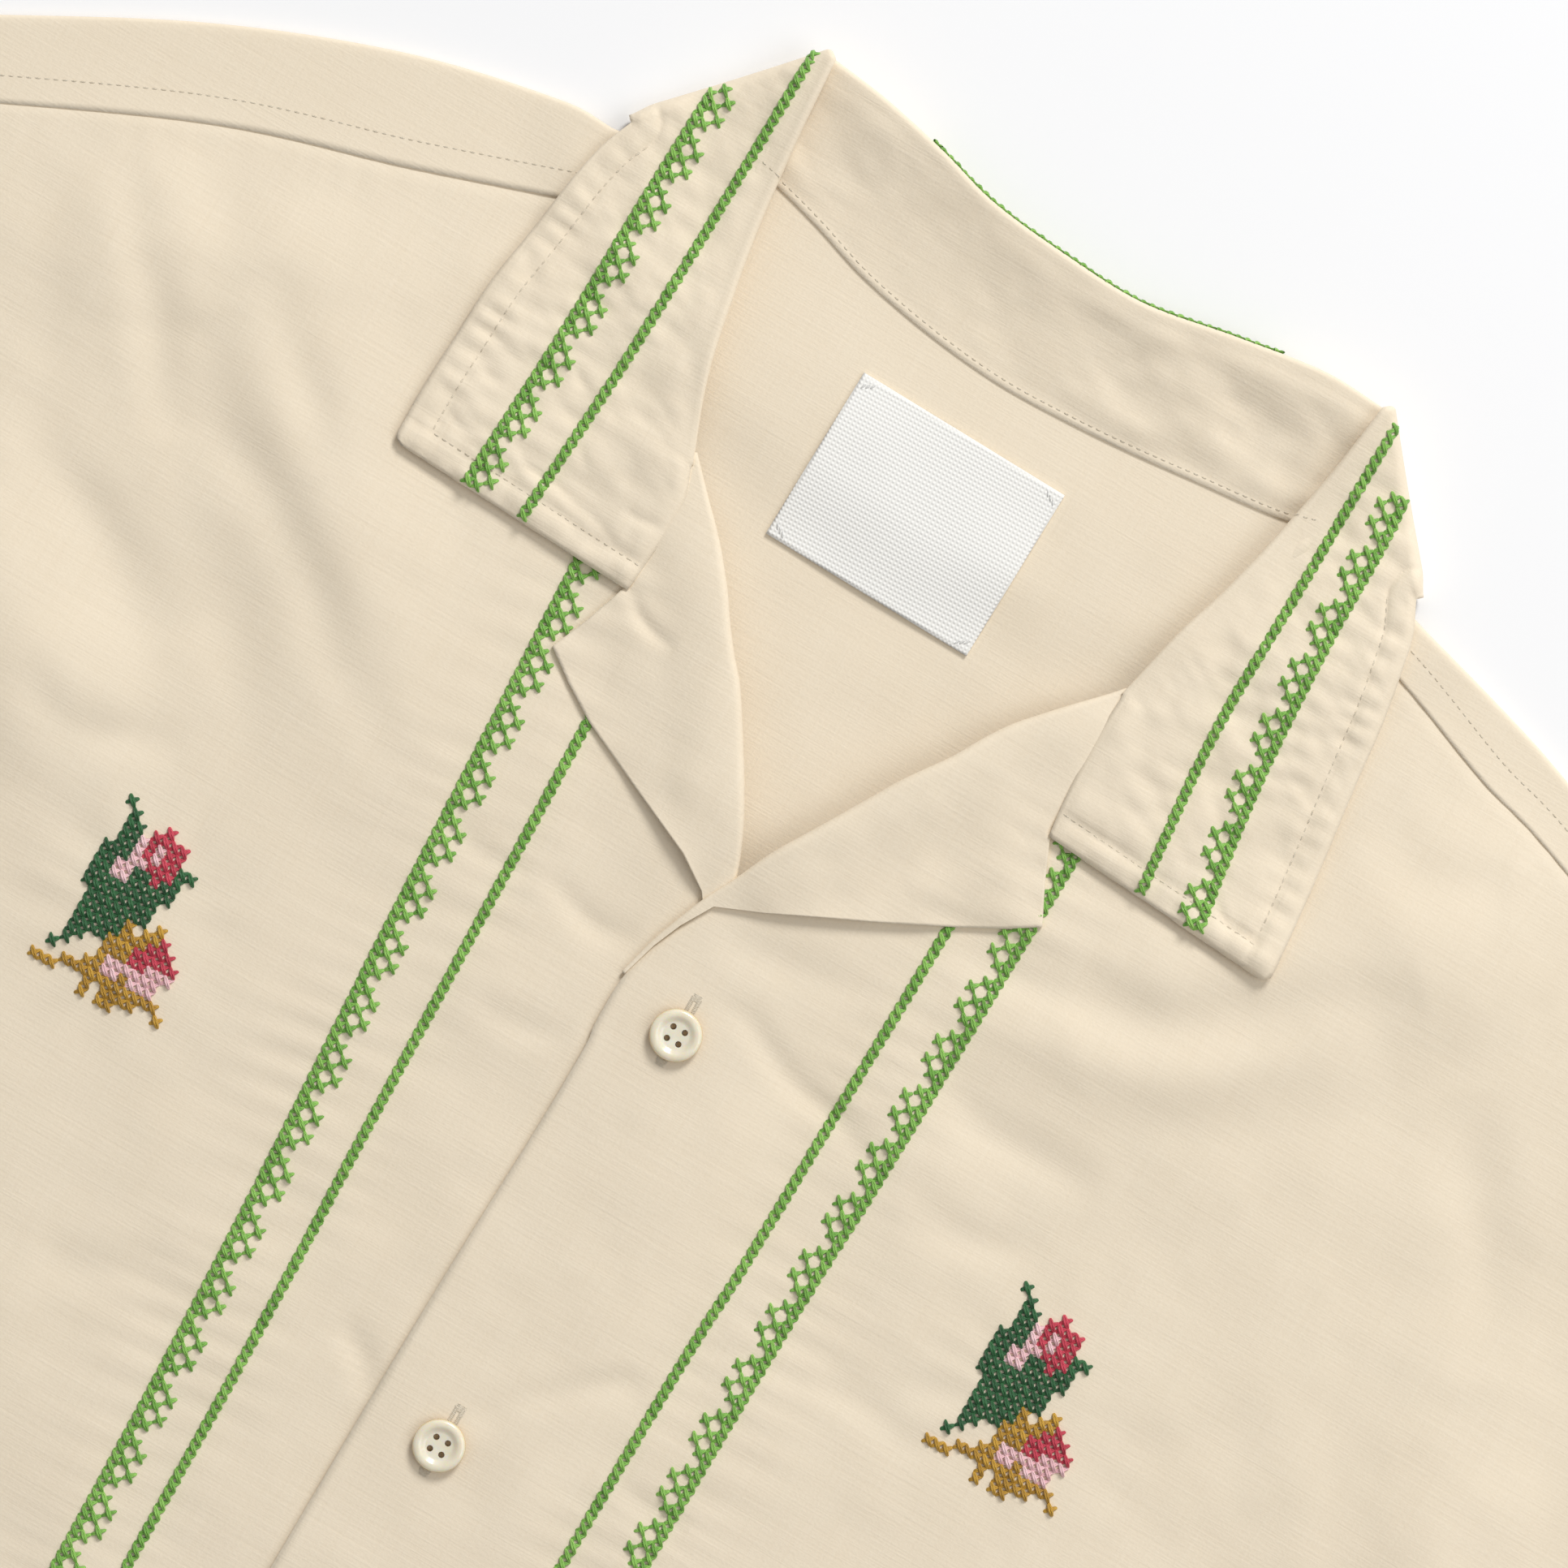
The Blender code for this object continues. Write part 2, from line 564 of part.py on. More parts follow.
def build_buttons(collection, cutters):
    """Five buttons down the centre front, each just clear of the cloth under it."""
    mesh = button_mesh(cutters)
    buttons = []
    for index in range(BUTTON_COUNT):
        y = -index * BUTTON_PITCH
        around = [(BUTTON_X + r * math.cos(k * math.pi / 4), y + r * math.sin(k * math.pi / 4))
                  for k in range(8) for r in (0.0, 1.5 * BUTTON_RADIUS, 2.5 * BUTTON_RADIUS)]
        cloth_top = max(over_height(px, py) for px, py in around) + WALL / 2
        button = bpy.data.objects.new("button_%d" % (index + 1), mesh)
        button.location = place(BUTTON_X, y, cloth_top + LAYER_GAP)
        collection.objects.link(button)
        buttons.append(button)
    return buttons


def main():
    for old in list(bpy.data.objects):
        bpy.data.objects.remove(old)
    shirt = bpy.data.collections.new("embroidered_shirt")
    cutters = bpy.data.collections.new("cutters")
    bpy.context.scene.collection.children.link(shirt)
    bpy.context.scene.collection.children.link(cutters)
    build_back(shirt)
    for side in ("right", "left"):
        build_front(side, shirt)
        build_facing(side, shirt)
        build_sleeve(side, shirt)
    build_collar(shirt)
    build_label(shirt)
    build_buttons(shirt, cutters)


main()
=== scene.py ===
"""Looks of the embroidered camp-collar shirt: thin cloth, cross-stitch bands and sprigs, buttons.

Sizes are in millimetres in the shirt's own axes: +X is the wearer's left, +Y the neck, and Y runs
up from the top button, as in the part's source. to_scene() turns them into metres in the row frame.
"""
import itertools
import math

import bmesh
import bpy
import numpy as np
from mathutils import Matrix, Vector
from mathutils.bvhtree import BVHTree


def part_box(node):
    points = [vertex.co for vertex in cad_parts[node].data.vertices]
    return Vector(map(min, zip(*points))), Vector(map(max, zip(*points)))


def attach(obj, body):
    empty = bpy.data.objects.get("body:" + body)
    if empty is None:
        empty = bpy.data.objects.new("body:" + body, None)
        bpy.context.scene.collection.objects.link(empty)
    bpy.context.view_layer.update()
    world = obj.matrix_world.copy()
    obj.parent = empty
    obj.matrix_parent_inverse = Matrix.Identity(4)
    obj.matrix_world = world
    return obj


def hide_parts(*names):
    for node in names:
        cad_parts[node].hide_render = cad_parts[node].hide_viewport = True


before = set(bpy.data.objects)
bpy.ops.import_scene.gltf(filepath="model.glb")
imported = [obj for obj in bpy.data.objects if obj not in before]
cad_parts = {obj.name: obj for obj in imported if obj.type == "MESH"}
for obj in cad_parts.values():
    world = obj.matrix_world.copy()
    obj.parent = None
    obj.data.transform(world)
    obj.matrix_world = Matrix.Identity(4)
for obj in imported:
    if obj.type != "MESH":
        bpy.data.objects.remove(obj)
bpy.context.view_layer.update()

MM = 0.001
button_low, button_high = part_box("button_1")
TOP_BUTTON_Y = (button_low.y + button_high.y) / 2.0 / MM
BUTTON_X = (button_low.x + button_high.x) / 2.0 / MM

# Heights of the layers: the back on the floor, the fronts over it
BACK_Z = 0.6
PITCH = 1.5
CLOTH = 0.6
DOUBLED = 0.9
OVERLAP_STEP = 1.1
UNDER_EDGE_X = 23.0
OVERLAP_RAMP = 12.0
CLOTH_PUFF = 2.0
HEM_Y = -520.0
HALF_WIDTH = 280.0
CHEST_HALF_WIDTH = 238.0
SHOULDER_TOP = (84.0, 165.0)
SHOULDER_FALL = 0.37
SPLIT_Y = -190.0
SEAM_LAP = 3.0

# Patterns shared with the part's source
ARMHOLE = ((282.0, -105.0), (262.0, -72.0), (248.0, -15.0), (240.0, 45.0), (237.5, 90.0))
SHOULDER_FOLD = {
    "right": ((-84.2, 165.4), (-99.5, 159.4), (-114.3, 158.9), (-148.5, 151.0), (-189.1, 135.0),
              (-238.0, 109.0)),
    "left": ((82.4, 161.0), (96.5, 154.4), (122.1, 147.2), (142.9, 140.4), (190.0, 122.0),
             (238.0, 103.6)),
}
FORWARD_SEAM = {
    "right": ((-77.0, 150.2), (-104.1, 141.5), (-135.8, 130.8), (-177.9, 117.4), (-237.5, 90.0)),
    "left": ((76.2, 149.4), (103.7, 141.1), (127.9, 131.9), (153.3, 123.9), (237.5, 90.0)),
}
BUTTON_EDGE = {
    "right": ((23.0, HEM_Y), (23.0, -160.0), (23.0, -20.0), (20.0, 2.0), (9.6, 16.0)),
    "left": ((-12.0, HEM_Y), (-12.0, -141.0), (-9.6, -24.0), (-10.2, -6.0)),
}
NECKLINE = {
    "right": ((-55.6, 106.0), (-64.7, 122.7), (-71.3, 139.0), (-76.8, 149.8)),
    "left": ((55.2, 109.4), (62.3, 124.7), (69.4, 137.6), (76.0, 148.8)),
}
LAPEL_ROWS = {
    "right": ((5.0, 20.0, 4.0, 16.0), (2.4, 27.5, -0.5, 23.5), (-0.6, 35.4, -4.6, 29.2),
              (-4.2, 43.4, -12.0, 34.2), (-9.2, 52.0, -25.0, 40.0), (-17.0, 64.5, -43.0, 48.2),
              (-21.0, 70.4, -51.0, 53.2),
              (-24.5, 74.5, -58.0, 58.3), (-27.3, 78.0, -54.4, 66.8), (-30.2, 82.0, -51.0, 76.4),
              (-33.2, 86.4, -51.7, 82.0), (-39.4, 94.4, -51.5, 88.5), (-45.6, 101.2, -51.2, 96.0),
              (-50.2, 106.2, -51.8, 103.4), (-52.6, 108.8, -53.6, 108.2)),
    "left": ((-10.3, 5.9, -10.0, 5.8), (-7.9, 14.5, -7.5, 14.3), (-5.4, 21.0, -4.8, 20.7),
             (-2.2, 28.4, -0.7, 27.7), (1.6, 35.2, 9.6, 32.1), (5.6, 43.0, 19.8, 36.9),
             (10.6, 51.0, 30.9, 42.1), (17.7, 63.0, 46.5, 49.8), (21.6, 69.6, 54.6, 54.2),
             (25.0, 74.5, 61.8, 58.7), (28.6, 79.6, 57.6, 67.2), (32.4, 86.2, 53.6, 76.2),
             (36.0, 91.6, 54.6, 82.0), (40.5, 97.0, 54.4, 88.5), (46.3, 103.7, 54.0, 97.0),
             (50.0, 107.9, 53.8, 104.0), (52.6, 111.0, 53.8, 109.8)),
}
LAPEL_START = {"right": (26.0, 10.0), "left": (4.0, 26.0)}
LAPEL_FREE = {"right": (44.0, 8.0, 1.7), "left": (46.0, 12.0, 1.4)}
LAPEL_OUTWARD = {"right": (0.84, 0.54), "left": (-0.85, 0.53)}
GORGE_ROWS = {
    "right": ((-50.2, 76.7, -108.8, 79.3), (-49.5, 84.5, -109.0, 86.0), (-49.0, 91.5, -109.0, 93.0),
              (-49.0, 98.5, -108.8, 99.5)),
    "left": ((53.4, 76.1, 109.0, 72.3), (52.5, 83.5, 108.5, 80.2), (52.0, 91.0, 107.8, 88.5),
             (51.7, 101.0, 106.8, 98.4)),
}
LEAF_ROWS = {
    "right": ((-51.7, 106.3, -108.4, 107.0, -52.4, 106.9), (-58.5, 123.5, -107.8, 119.5, -63.5, 123.5),
              (-62.3, 139.0, -105.6, 134.0, -70.0, 140.0), (-65.5, 157.0, -103.8, 147.0, -76.0, 154.5),
              (-67.6, 177.0, -101.8, 156.0, -80.2, 163.8)),
    "left": ((52.1, 109.9, 105.6, 108.0, 52.9, 110.3), (56.3, 126.5, 104.0, 121.0, 61.2, 125.6),
             (60.6, 139.5, 102.6, 133.0, 68.2, 138.6), (64.2, 154.0, 100.7, 143.5, 74.0, 151.2),
             (67.8, 173.0, 99.0, 151.5, 77.8, 158.8)),
}
COLLAR_WRAP = {
    "right": (-68.8, 195.1, -99.0, 163.0, -82.2, 170.2),
    "left": (69.9, 189.2, 95.7, 158.7, 80.2, 164.7),
}
# Soft roll of the collar above its fold, and how far it reaches over the leaf
ROLL_HEIGHT = 5.0
ROLL_REACH = 28.0
WRAP_OUTWARD = {"right": (-0.745, 0.668), "left": (0.763, 0.646)}
BACK_FOLD = ((-68.8, 195.1), (-54.9, 193.2), (-38.8, 189.6), (-24.3, 185.6), (-6.2, 183.6),
             (14.1, 182.9), (35.2, 186.6), (55.0, 189.6), (69.9, 189.2))
BACK_SEAM = ((-82.2, 170.2), (-66.9, 167.1), (-54.1, 163.7), (-39.6, 159.1), (-21.4, 155.6),
             (-4.1, 153.9), (11.8, 154.2), (27.5, 155.3), (42.6, 156.9), (63.8, 159.5), (80.2, 164.7))
TIP_RADIUS = 1.8
FALL_EDGE_MIDDLE_Y = 134.0
FALL_EDGE_RISE = 28.2
FALL_HALF_WIDTH = 98.5
FALL_COVER_X = 124.0
FALL_COVER_RAMP = 20.0
FALL_COVER_LEAD = 14.0
CUFF_TOP = (450.0, -11.5)
CUFF_BOTTOM = (355.0, -176.0)
LABEL_SIZE = (50.0, 40.0)
LABEL_CENTRE = (-5.3, 121.2)
LABEL_TURN = -1.5
FOLD_LINE_ENDS = (-42.0, 46.0)

# Embroidery: pitch of its crosses, and its lines from the collar down
CROSS = 2.25
COLLAR_CROSS = 2.17
SPRIG_CROSS = 2.13
PLAIN_LINE = {
    "right": ((-43.6, 54.0), (-41.2, -40.0), (-38.6, -156.0), (-37.0, HEM_Y + 4.0)),
    "left": ((44.9, 56.0), (43.2, -30.0), (41.3, -110.0), (38.5, HEM_Y + 4.0)),
}
LACE_EDGE = {
    "right": ((-63.9, 84.0), (-60.0, 0.0), (-52.8, -164.7), (-51.0, HEM_Y + 4.0)),
    "left": ((61.9, 84.0), (60.0, 0.0), (57.7, -101.0), (55.5, HEM_Y + 4.0)),
}
COLLAR_PLAIN_LINE = {
    "right": ((-72.6, 195.5), (-73.4, 160.0), (-74.6, 120.0), (-77.2, 78.4)),
    "left": ((73.6, 190.5), (73.3, 151.0), (72.9, 113.0), (76.2, 75.2)),
}
COLLAR_LACE_EDGE = {
    "right": ((-88.4, 180.0), (-89.4, 150.0), (-90.2, 118.0), (-92.2, 79.0)),
    "left": ((84.2, 176.0), (85.0, 164.0), (85.2, 140.0), (87.3, 108.0), (91.8, 74.6)),
}
LACE_ROWS = ("XX.", "X.X", "XX.", "X.X", "XX.", "X..")

# Sprig, given as a chart: D dark green, R red, P pink, Y gold
SPRIG = (
    ".D.............",
    "..D...R........",
    "..DD.RRRR......",
    "..DDPRPRR......",
    "..DDPRPRRDD....",
    ".DDDPPRRRD.....",
    ".DDPPDDRDD.....",
    ".DDPPDDDDD.....",
    ".DDDDDDDD......",
    ".DDDDDDDD......",
    "..DDDDDDD.Y....",
    "..DDDDDY.YYR...",
    "..DDDDDYYYRRR..",
    "..DDDDYYYRRRRR.",
    "..DD..YYYRRPPP.",
    "..D...YPPPPPP..",
    ".D...YYPPYPPP..",
    "...YYYYYYYYYYY.",
    "YYY...Y.YYYY..Y",
    "......Y.YY.....",
)
SPRIG_CORNER = {"right": (-122.0, -13.5), "left": (94.3, -8.2)}

# Buttons and their holes
BUTTON_PITCH = 100.5
BUTTON_COUNT = 5
BUTTON_RADIUS = 5.7
BUTTON_RIM = 1.0
BUTTON_HEIGHT = 2.2
BUTTON_DISH_RADIUS = 2.7
BUTTON_DISH_DEPTH = 0.75
HOLE_RADIUS = 0.68
HOLE_SPACING = 2.8
BUTTONHOLE_TOP = 9.0
BUTTONHOLE_BOTTOM = -6.6
BUTTONHOLE_LIP = 0.75
BUTTONHOLE_PITCH = 0.36

# Rows of small stitches: how far in from the folded edges they run
EDGE_STITCH = 6.2
LOWER_STITCH = 5.6
STITCH = 1.9
NECK_STITCH = 1.6

# Camera: the cloth that spans the photo, the point below the lens, and the turn
SENSOR_WIDTH = 36.0
CAMERA_HEIGHT = 1.5
CLOTH_HEIGHT = 0.004
PHOTO_SPAN = 0.3331
CAMERA_POINT = (-0.8, 57.6)
CAMERA_TURN = 30.0
FLOOR_REACH = 6.0
LIGHT_TARGET = (0.0, 0.22, 0.0)

# Places of the two colours and of the result among the sockets of a mix node
COLOUR_A = 6
COLOUR_B = 7
COLOUR_OUT = 2

# Broad soft folds, as in the part's source: start x, y, middle x, y, end x, y, half width, height
FOLDS = (
    (-141.0, 92.0, -112.0, 50.0, -66.0, 14.0, 30.0, 3.2),
    (-190.0, 106.0, -178.0, 92.0, -170.0, 72.0, 22.0, 2.2),
    (-172.0, 8.0, -152.0, 0.0, -132.0, -10.0, 24.0, 2.6),
    (70.0, 48.0, 124.0, 60.0, 148.0, 128.0, 30.0, 3.0),
    (8.0, 20.0, -20.0, 68.0, -56.0, 112.0, 32.0, 1.6),
    (2.0, 28.0, 20.0, 70.0, 54.0, 112.0, 32.0, 1.6),
    (-262.0, -110.0, -220.0, -60.0, -185.0, 10.0, 28.0, 4.0),
    (262.0, -110.0, 222.0, -55.0, 190.0, 15.0, 28.0, 4.0),
    (-205.0, -175.0, -172.0, -300.0, -195.0, -440.0, 36.0, 4.0),
    (-95.0, -210.0, -112.0, -330.0, -82.0, -460.0, 34.0, 3.2),
    (92.0, -200.0, 112.0, -320.0, 84.0, -450.0, 34.0, 3.4),
    (208.0, -170.0, 178.0, -290.0, 200.0, -430.0, 36.0, 4.2),
)

# Creases seen in the photo: points, then half width and height, a negative one for a trough
CREASES = (
    (((-157, 83), (-143, 65), (-118, 52), (-97, 32), (-84, 26), (-71, 20)), 9.0, -1.25),
    (((-146, 94), (-127, 66), (-102, 49), (-78, 38)), 9.0, 0.5),
    (((-190, 102), (-177, 91), (-167, 77), (-150, 56)), 8.0, -1.2),
    (((-184, 48), (-164, 37), (-141, 25), (-128, 19)), 9.0, -1.2),
    (((-152, 97), (-135, 84), (-119, 66)), 8.0, -0.9),
    (((-156, -3), (-137, -6), (-114, 0)), 7.0, -0.9),
    (((-61, 15), (-48, 13), (-37, 14)), 4.5, -0.7),
    (((-35, 14), (-20, 12), (-11, 14)), 4.0, -0.8),
    (((-35, -16), (-24, -15), (-13, -11)), 4.5, -0.7),
    (((-26, -89), (-16, -94), (-13, -100)), 4.0, -1.1),
    (((-89, -109), (-76, -105), (-63, -94)), 7.0, -0.8),
    (((8, 9), (19, 10), (32, 4), (43, 1), (60, -4)), 4.0, -1.0),
    (((3, 21), (18, 25), (40, 27)), 6.0, -0.7),
    (((11, -95), (17, -82), (33, -70), (38, -74)), 4.0, -1.1),
    (((14, -90), (22, -76), (34, -64)), 4.0, 0.6),
    (((40, -90), (54, -90), (61, -89)), 4.0, -0.8),
    (((43, 48), (74, 49), (100, 57), (124, 76), (137, 88)), 10.0, -1.9),
    (((50, 37), (80, 38), (106, 46), (130, 66)), 9.0, 0.9),
    (((57, 18), (77, 16), (101, 14)), 7.0, -1.1),
    (((66, -8), (82, -6), (97, -1)), 6.0, -0.8),
    (((98, 153), (113, 144), (127, 139)), 6.0, -0.6),
    (((109, 113), (127, 109), (144, 114)), 9.0, -0.9),
    (((157, 72), (178, 45), (189, 21)), 10.0, -0.9),
    (((68, -49), (83, -48), (97, -51)), 6.0, -0.7),
    (((-50.5, 76), (-46.4, 73.2), (-42, 71.8), (-35, 71.7)), 2.6, -0.8),
    (((34, 50), (44, 60), (50, 72)), 6.0, 0.5),
)
LEAF_CREASES = {
    "right": (
        (((-86.3, 91.7), (-82.4, 88.2), (-78.7, 88.4), (-74.4, 88.5), (-70.0, 87.6), (-62.8, 86.0),
          (-56.5, 83.4), (-50.1, 83.2)), 1.3, -0.75),
        (((-86.0, 89.6), (-80.4, 86.4), (-74.4, 86.6), (-63.5, 84.2)), 1.6, 0.45),
        (((-102.6, 90.5), (-99.6, 88.8), (-96.2, 88.7), (-93.3, 89.6)), 1.3, -0.6),
        (((-75.1, 98.2), (-73.1, 96.4), (-70.0, 94.4)), 1.6, -0.5),
        (((-59.1, 90.5), (-54.8, 90.6), (-51.9, 91.3), (-49.6, 90.7)), 1.6, -0.7),
        (((-84.4, 112.6), (-81.7, 110.3), (-78.9, 109.0)), 2.2, -0.6),
        (((-101.7, 101.6), (-98.3, 100.7), (-94.8, 101.3)), 1.8, -0.6),
    ),
    "left": (
        (((88.6, 83.4), (90.1, 81.4), (92.4, 80.6), (94.6, 78.9), (97.3, 78.7), (102.2, 78.5),
          (104.8, 77.6)), 1.2, -0.75),
        (((60.0, 97.0), (67.0, 96.0), (74.0, 92.0)), 2.6, -0.6),
        (((62.0, 90.0), (68.0, 89.0), (73.0, 86.5)), 2.2, -0.5),
        (((79.0, 100.0), (84.0, 96.0), (87.0, 91.0)), 2.6, -0.6),
    ),
}

SIDE_SIGN = {"right": -1.0, "left": 1.0}


def smooth(t):
    """Soft step from 0 to 1."""
    t = np.clip(t, 0.0, 1.0)
    return t * t * (3.0 - 2.0 * t)


def to_scene(points):
    """Points in the shirt's millimetres, as points of the scene."""
    points = np.array(points, dtype=float)
    points[..., 1] += TOP_BUTTON_Y
    return points * MM


def noise(x, y, scale, seed):
    """Soft uneven field from -1 to 1, with bumps about as wide as scale."""
    lattice = np.random.default_rng(seed).uniform(-1.0, 1.0, (64, 64))
    u = np.asarray(x, dtype=float) / scale + 640.0
    v = np.asarray(y, dtype=float) / scale + 640.0
    i = np.floor(u).astype(int)
    j = np.floor(v).astype(int)
    s = smooth(u - i)
    t = smooth(v - j)
    low = lattice[i % 64, j % 64] * (1 - s) + lattice[(i + 1) % 64, j % 64] * s
    high = lattice[i % 64, (j + 1) % 64] * (1 - s) + lattice[(i + 1) % 64, (j + 1) % 64] * s
    return low * (1 - t) + high * t


def dense(table):
    """Fine points of the smooth curve through the table's points, and the length up to each."""
    table = np.array(table, dtype=float)
    ends = np.vstack([2 * table[0] - table[1], table, 2 * table[-1] - table[-2]])
    t = np.linspace(0.0, 1.0, 16, endpoint=False)[:, None]
    parts = []
    for p, q, r, s in zip(ends, ends[1:], ends[2:], ends[3:]):
        parts.append(0.5 * (2 * q + (r - p) * t + (2 * p - 5 * q + 4 * r - s) * t * t
                            + (3 * q - p - 3 * r + s) * t ** 3))
    fine = np.vstack(parts + [table[-1:]])
    steps = np.linalg.norm(np.diff(fine, axis=0), axis=1)
    return fine, np.concatenate([[0.0], np.cumsum(steps)])


def sample(table, fractions):
    """Points of the smooth curve through the table, at these fractions of its length."""
    fine, lengths = dense(table)
    want = np.asarray(fractions) * lengths[-1]
    return np.stack([np.interp(want, lengths, column) for column in fine.T], axis=1)


KEPT_LINES = {}


def spaced(table, count):
    """count + 1 even points of the smooth curve through the table."""
    key = (tuple(map(tuple, np.round(table, 4).tolist())), count)
    if key not in KEPT_LINES:
        KEPT_LINES[key] = sample(table, np.linspace(0.0, 1.0, count + 1))
    return KEPT_LINES[key].copy()


def split_fractions(table, split_y, coarse, fine):
    """Fractions of a curve's length: coarse steps below split_y, fine ones above it."""
    points, lengths = dense(table)
    index = int(np.argmax(points[:, 1] > split_y))
    share = lengths[index] / lengths[-1]
    return np.concatenate([np.linspace(0.0, share, coarse, endpoint=False),
                           np.linspace(share, 1.0, fine)])


def patch(bottom, top, start, end):
    """Grid of (x, y) between four sides of points; its rows run from the bottom to the top."""
    u = np.linspace(0.0, 1.0, len(bottom))[None, :, None]
    across = start[:, None] * (1 - u) + end[:, None] * u
    steps = np.linalg.norm(np.diff(start, axis=0), axis=1) + np.linalg.norm(np.diff(end, axis=0), axis=1)
    v = (np.concatenate([[0.0], np.cumsum(steps)]) / steps.sum())[:, None, None]
    up = bottom[None] * (1 - v) + top[None] * v
    corners = (bottom[0] * (1 - u) + bottom[-1] * u) * (1 - v) + (top[0] * (1 - u) + top[-1] * u) * v
    return across + up - corners


def nearest_on(x, y, line):
    """Distance along a line of points and signed distance from it, for every (x, y)."""
    x = np.asarray(x, dtype=float)
    y = np.asarray(y, dtype=float)
    best = np.full(x.shape, 1e9)
    place = np.zeros(x.shape)
    side = np.zeros(x.shape)
    done = 0.0
    for (ax, ay), (bx, by) in zip(line, line[1:]):
        ux, uy = bx - ax, by - ay
        length = math.hypot(ux, uy)
        ux, uy = ux / length, uy / length
        t = np.clip((x - ax) * ux + (y - ay) * uy, 0.0, length)
        dx, dy = x - ax - t * ux, y - ay - t * uy
        distance = np.hypot(dx, dy)
        closer = distance < best
        best = np.where(closer, distance, best)
        place = np.where(closer, done + t, place)
        side = np.where(closer, np.sign(ux * dy - uy * dx), side)
        done += length
    return place, best * side


def fall_edge_y(x):
    """Y of the collar's hidden edge, under the back."""
    return FALL_EDGE_MIDDLE_Y + FALL_EDGE_RISE * (x / FALL_HALF_WIDTH) ** 2


def lift(x, y):
    """How far the back is raised by the collar that passes under it."""
    over_collar = smooth((y - fall_edge_y(x) + FALL_COVER_LEAD + FALL_COVER_RAMP) / FALL_COVER_RAMP)
    return PITCH * over_collar * smooth((FALL_COVER_X - np.abs(x)) / FALL_COVER_RAMP)


def fold_height(x, y, row):
    """Height of one broad soft fold."""
    x1, y1, x2, y2, x3, y3, half, height = row
    t = np.linspace(0.0, 1.0, 13)
    px = x1 * (1 - t) ** 2 + 2 * x2 * t * (1 - t) + x3 * t * t
    py = y1 * (1 - t) ** 2 + 2 * y2 * t * (1 - t) + y3 * t * t
    place, distance = nearest_on(x, y, list(zip(px, py)))
    whole = np.hypot(np.diff(px), np.diff(py)).sum()
    across = 1.0 - np.minimum(np.abs(distance) / half, 1.0) ** 2
    return height * across * across * (0.35 + 0.65 * np.sin(np.pi * place / whole))


def drape(x, y):
    """Height of the air and folds under the upper layers, none at the sides and shoulders."""
    x = np.asarray(x, dtype=float)
    y = np.asarray(y, dtype=float)
    half_width = CHEST_HALF_WIDTH + (HALF_WIDTH - CHEST_HALF_WIDTH) * smooth((-60.0 - y) / 45.0)
    shoulder_y = SHOULDER_TOP[1] - SHOULDER_FALL * (np.abs(x) - SHOULDER_TOP[0])
    fade = smooth((half_width - np.abs(x)) / 40.0) * smooth((shoulder_y - y) / 45.0)
    fade = fade * (0.4 + 0.6 * smooth((y - HEM_Y) / 50.0))
    return fade * (CLOTH_PUFF + sum(fold_height(x, y, row) for row in FOLDS))


def creases(x, y, rows, wander):
    """Sharper creases of a table of rows, as ridges and troughs on uneven lines."""
    total = np.zeros(np.shape(x))
    for points, half, height in rows:
        line = spaced(points, 12)
        place, distance = nearest_on(x, y, line)
        whole = np.linalg.norm(np.diff(line, axis=0), axis=1).sum()
        along = np.sin(np.pi * np.clip(place / whole, 0.0, 1.0)) ** 0.6
        moved = distance + wander * noise(place, place * 0.0, 17.0, 11)
        total = total + height * along * np.exp(-(moved / half) ** 2 * 2.0)
    return total


def back_height(x, y):
    """Middle of the back's cloth."""
    x = np.asarray(x, dtype=float)
    y = np.asarray(y, dtype=float)
    inside = smooth((y - 20.0) / 30.0) * smooth((70.0 - np.abs(x)) / 20.0) * smooth((160.0 - y) / 25.0)
    soft = 0.35 * (1.0 + noise(x, y, 26.0, 3)) + 0.15 * (1.0 + noise(x, y, 11.0, 4))
    return BACK_Z + lift(x, y) + inside * soft


def puckers(x, y, line, length, height, reach, seed):
    """Short ripples across a line of stitches, fading with the distance from it."""
    place, distance = nearest_on(x, y, spaced(line, 24))
    phase = place / length + 0.55 * noise(place, place * 0.0, 2.2 * length, seed)
    size = 0.55 + 0.45 * noise(place, np.sign(distance) * 40.0, 3.0 * length, seed + 1)
    slant = 0.018 * distance
    return height * size * np.cos(2 * np.pi * (phase + slant)) * np.exp(-(distance / reach) ** 2)


def sprig_puckers(x, y, side):
    """Fine radial ripples where a sprig's stitches have drawn the cloth in."""
    cx = SPRIG_CORNER[side][0] + 7.5 * SPRIG_CROSS
    cy = SPRIG_CORNER[side][1] - 10.0 * SPRIG_CROSS
    radius = np.hypot(x - cx, (y - cy) * 0.85)
    angle = np.arctan2(y - cy, x - cx)
    spread = np.exp(-((radius - 19.0) / 10.0) ** 2)
    rays = np.cos(11.0 * angle + 2.0 * noise(angle * 10.0, radius * 0.2, 6.0, 61))
    uneven = 0.5 + 0.5 * noise(x, y, 18.0, 62)
    return 0.40 * rays * spread * uneven + 0.5 * np.exp(-(radius / 20.0) ** 2)


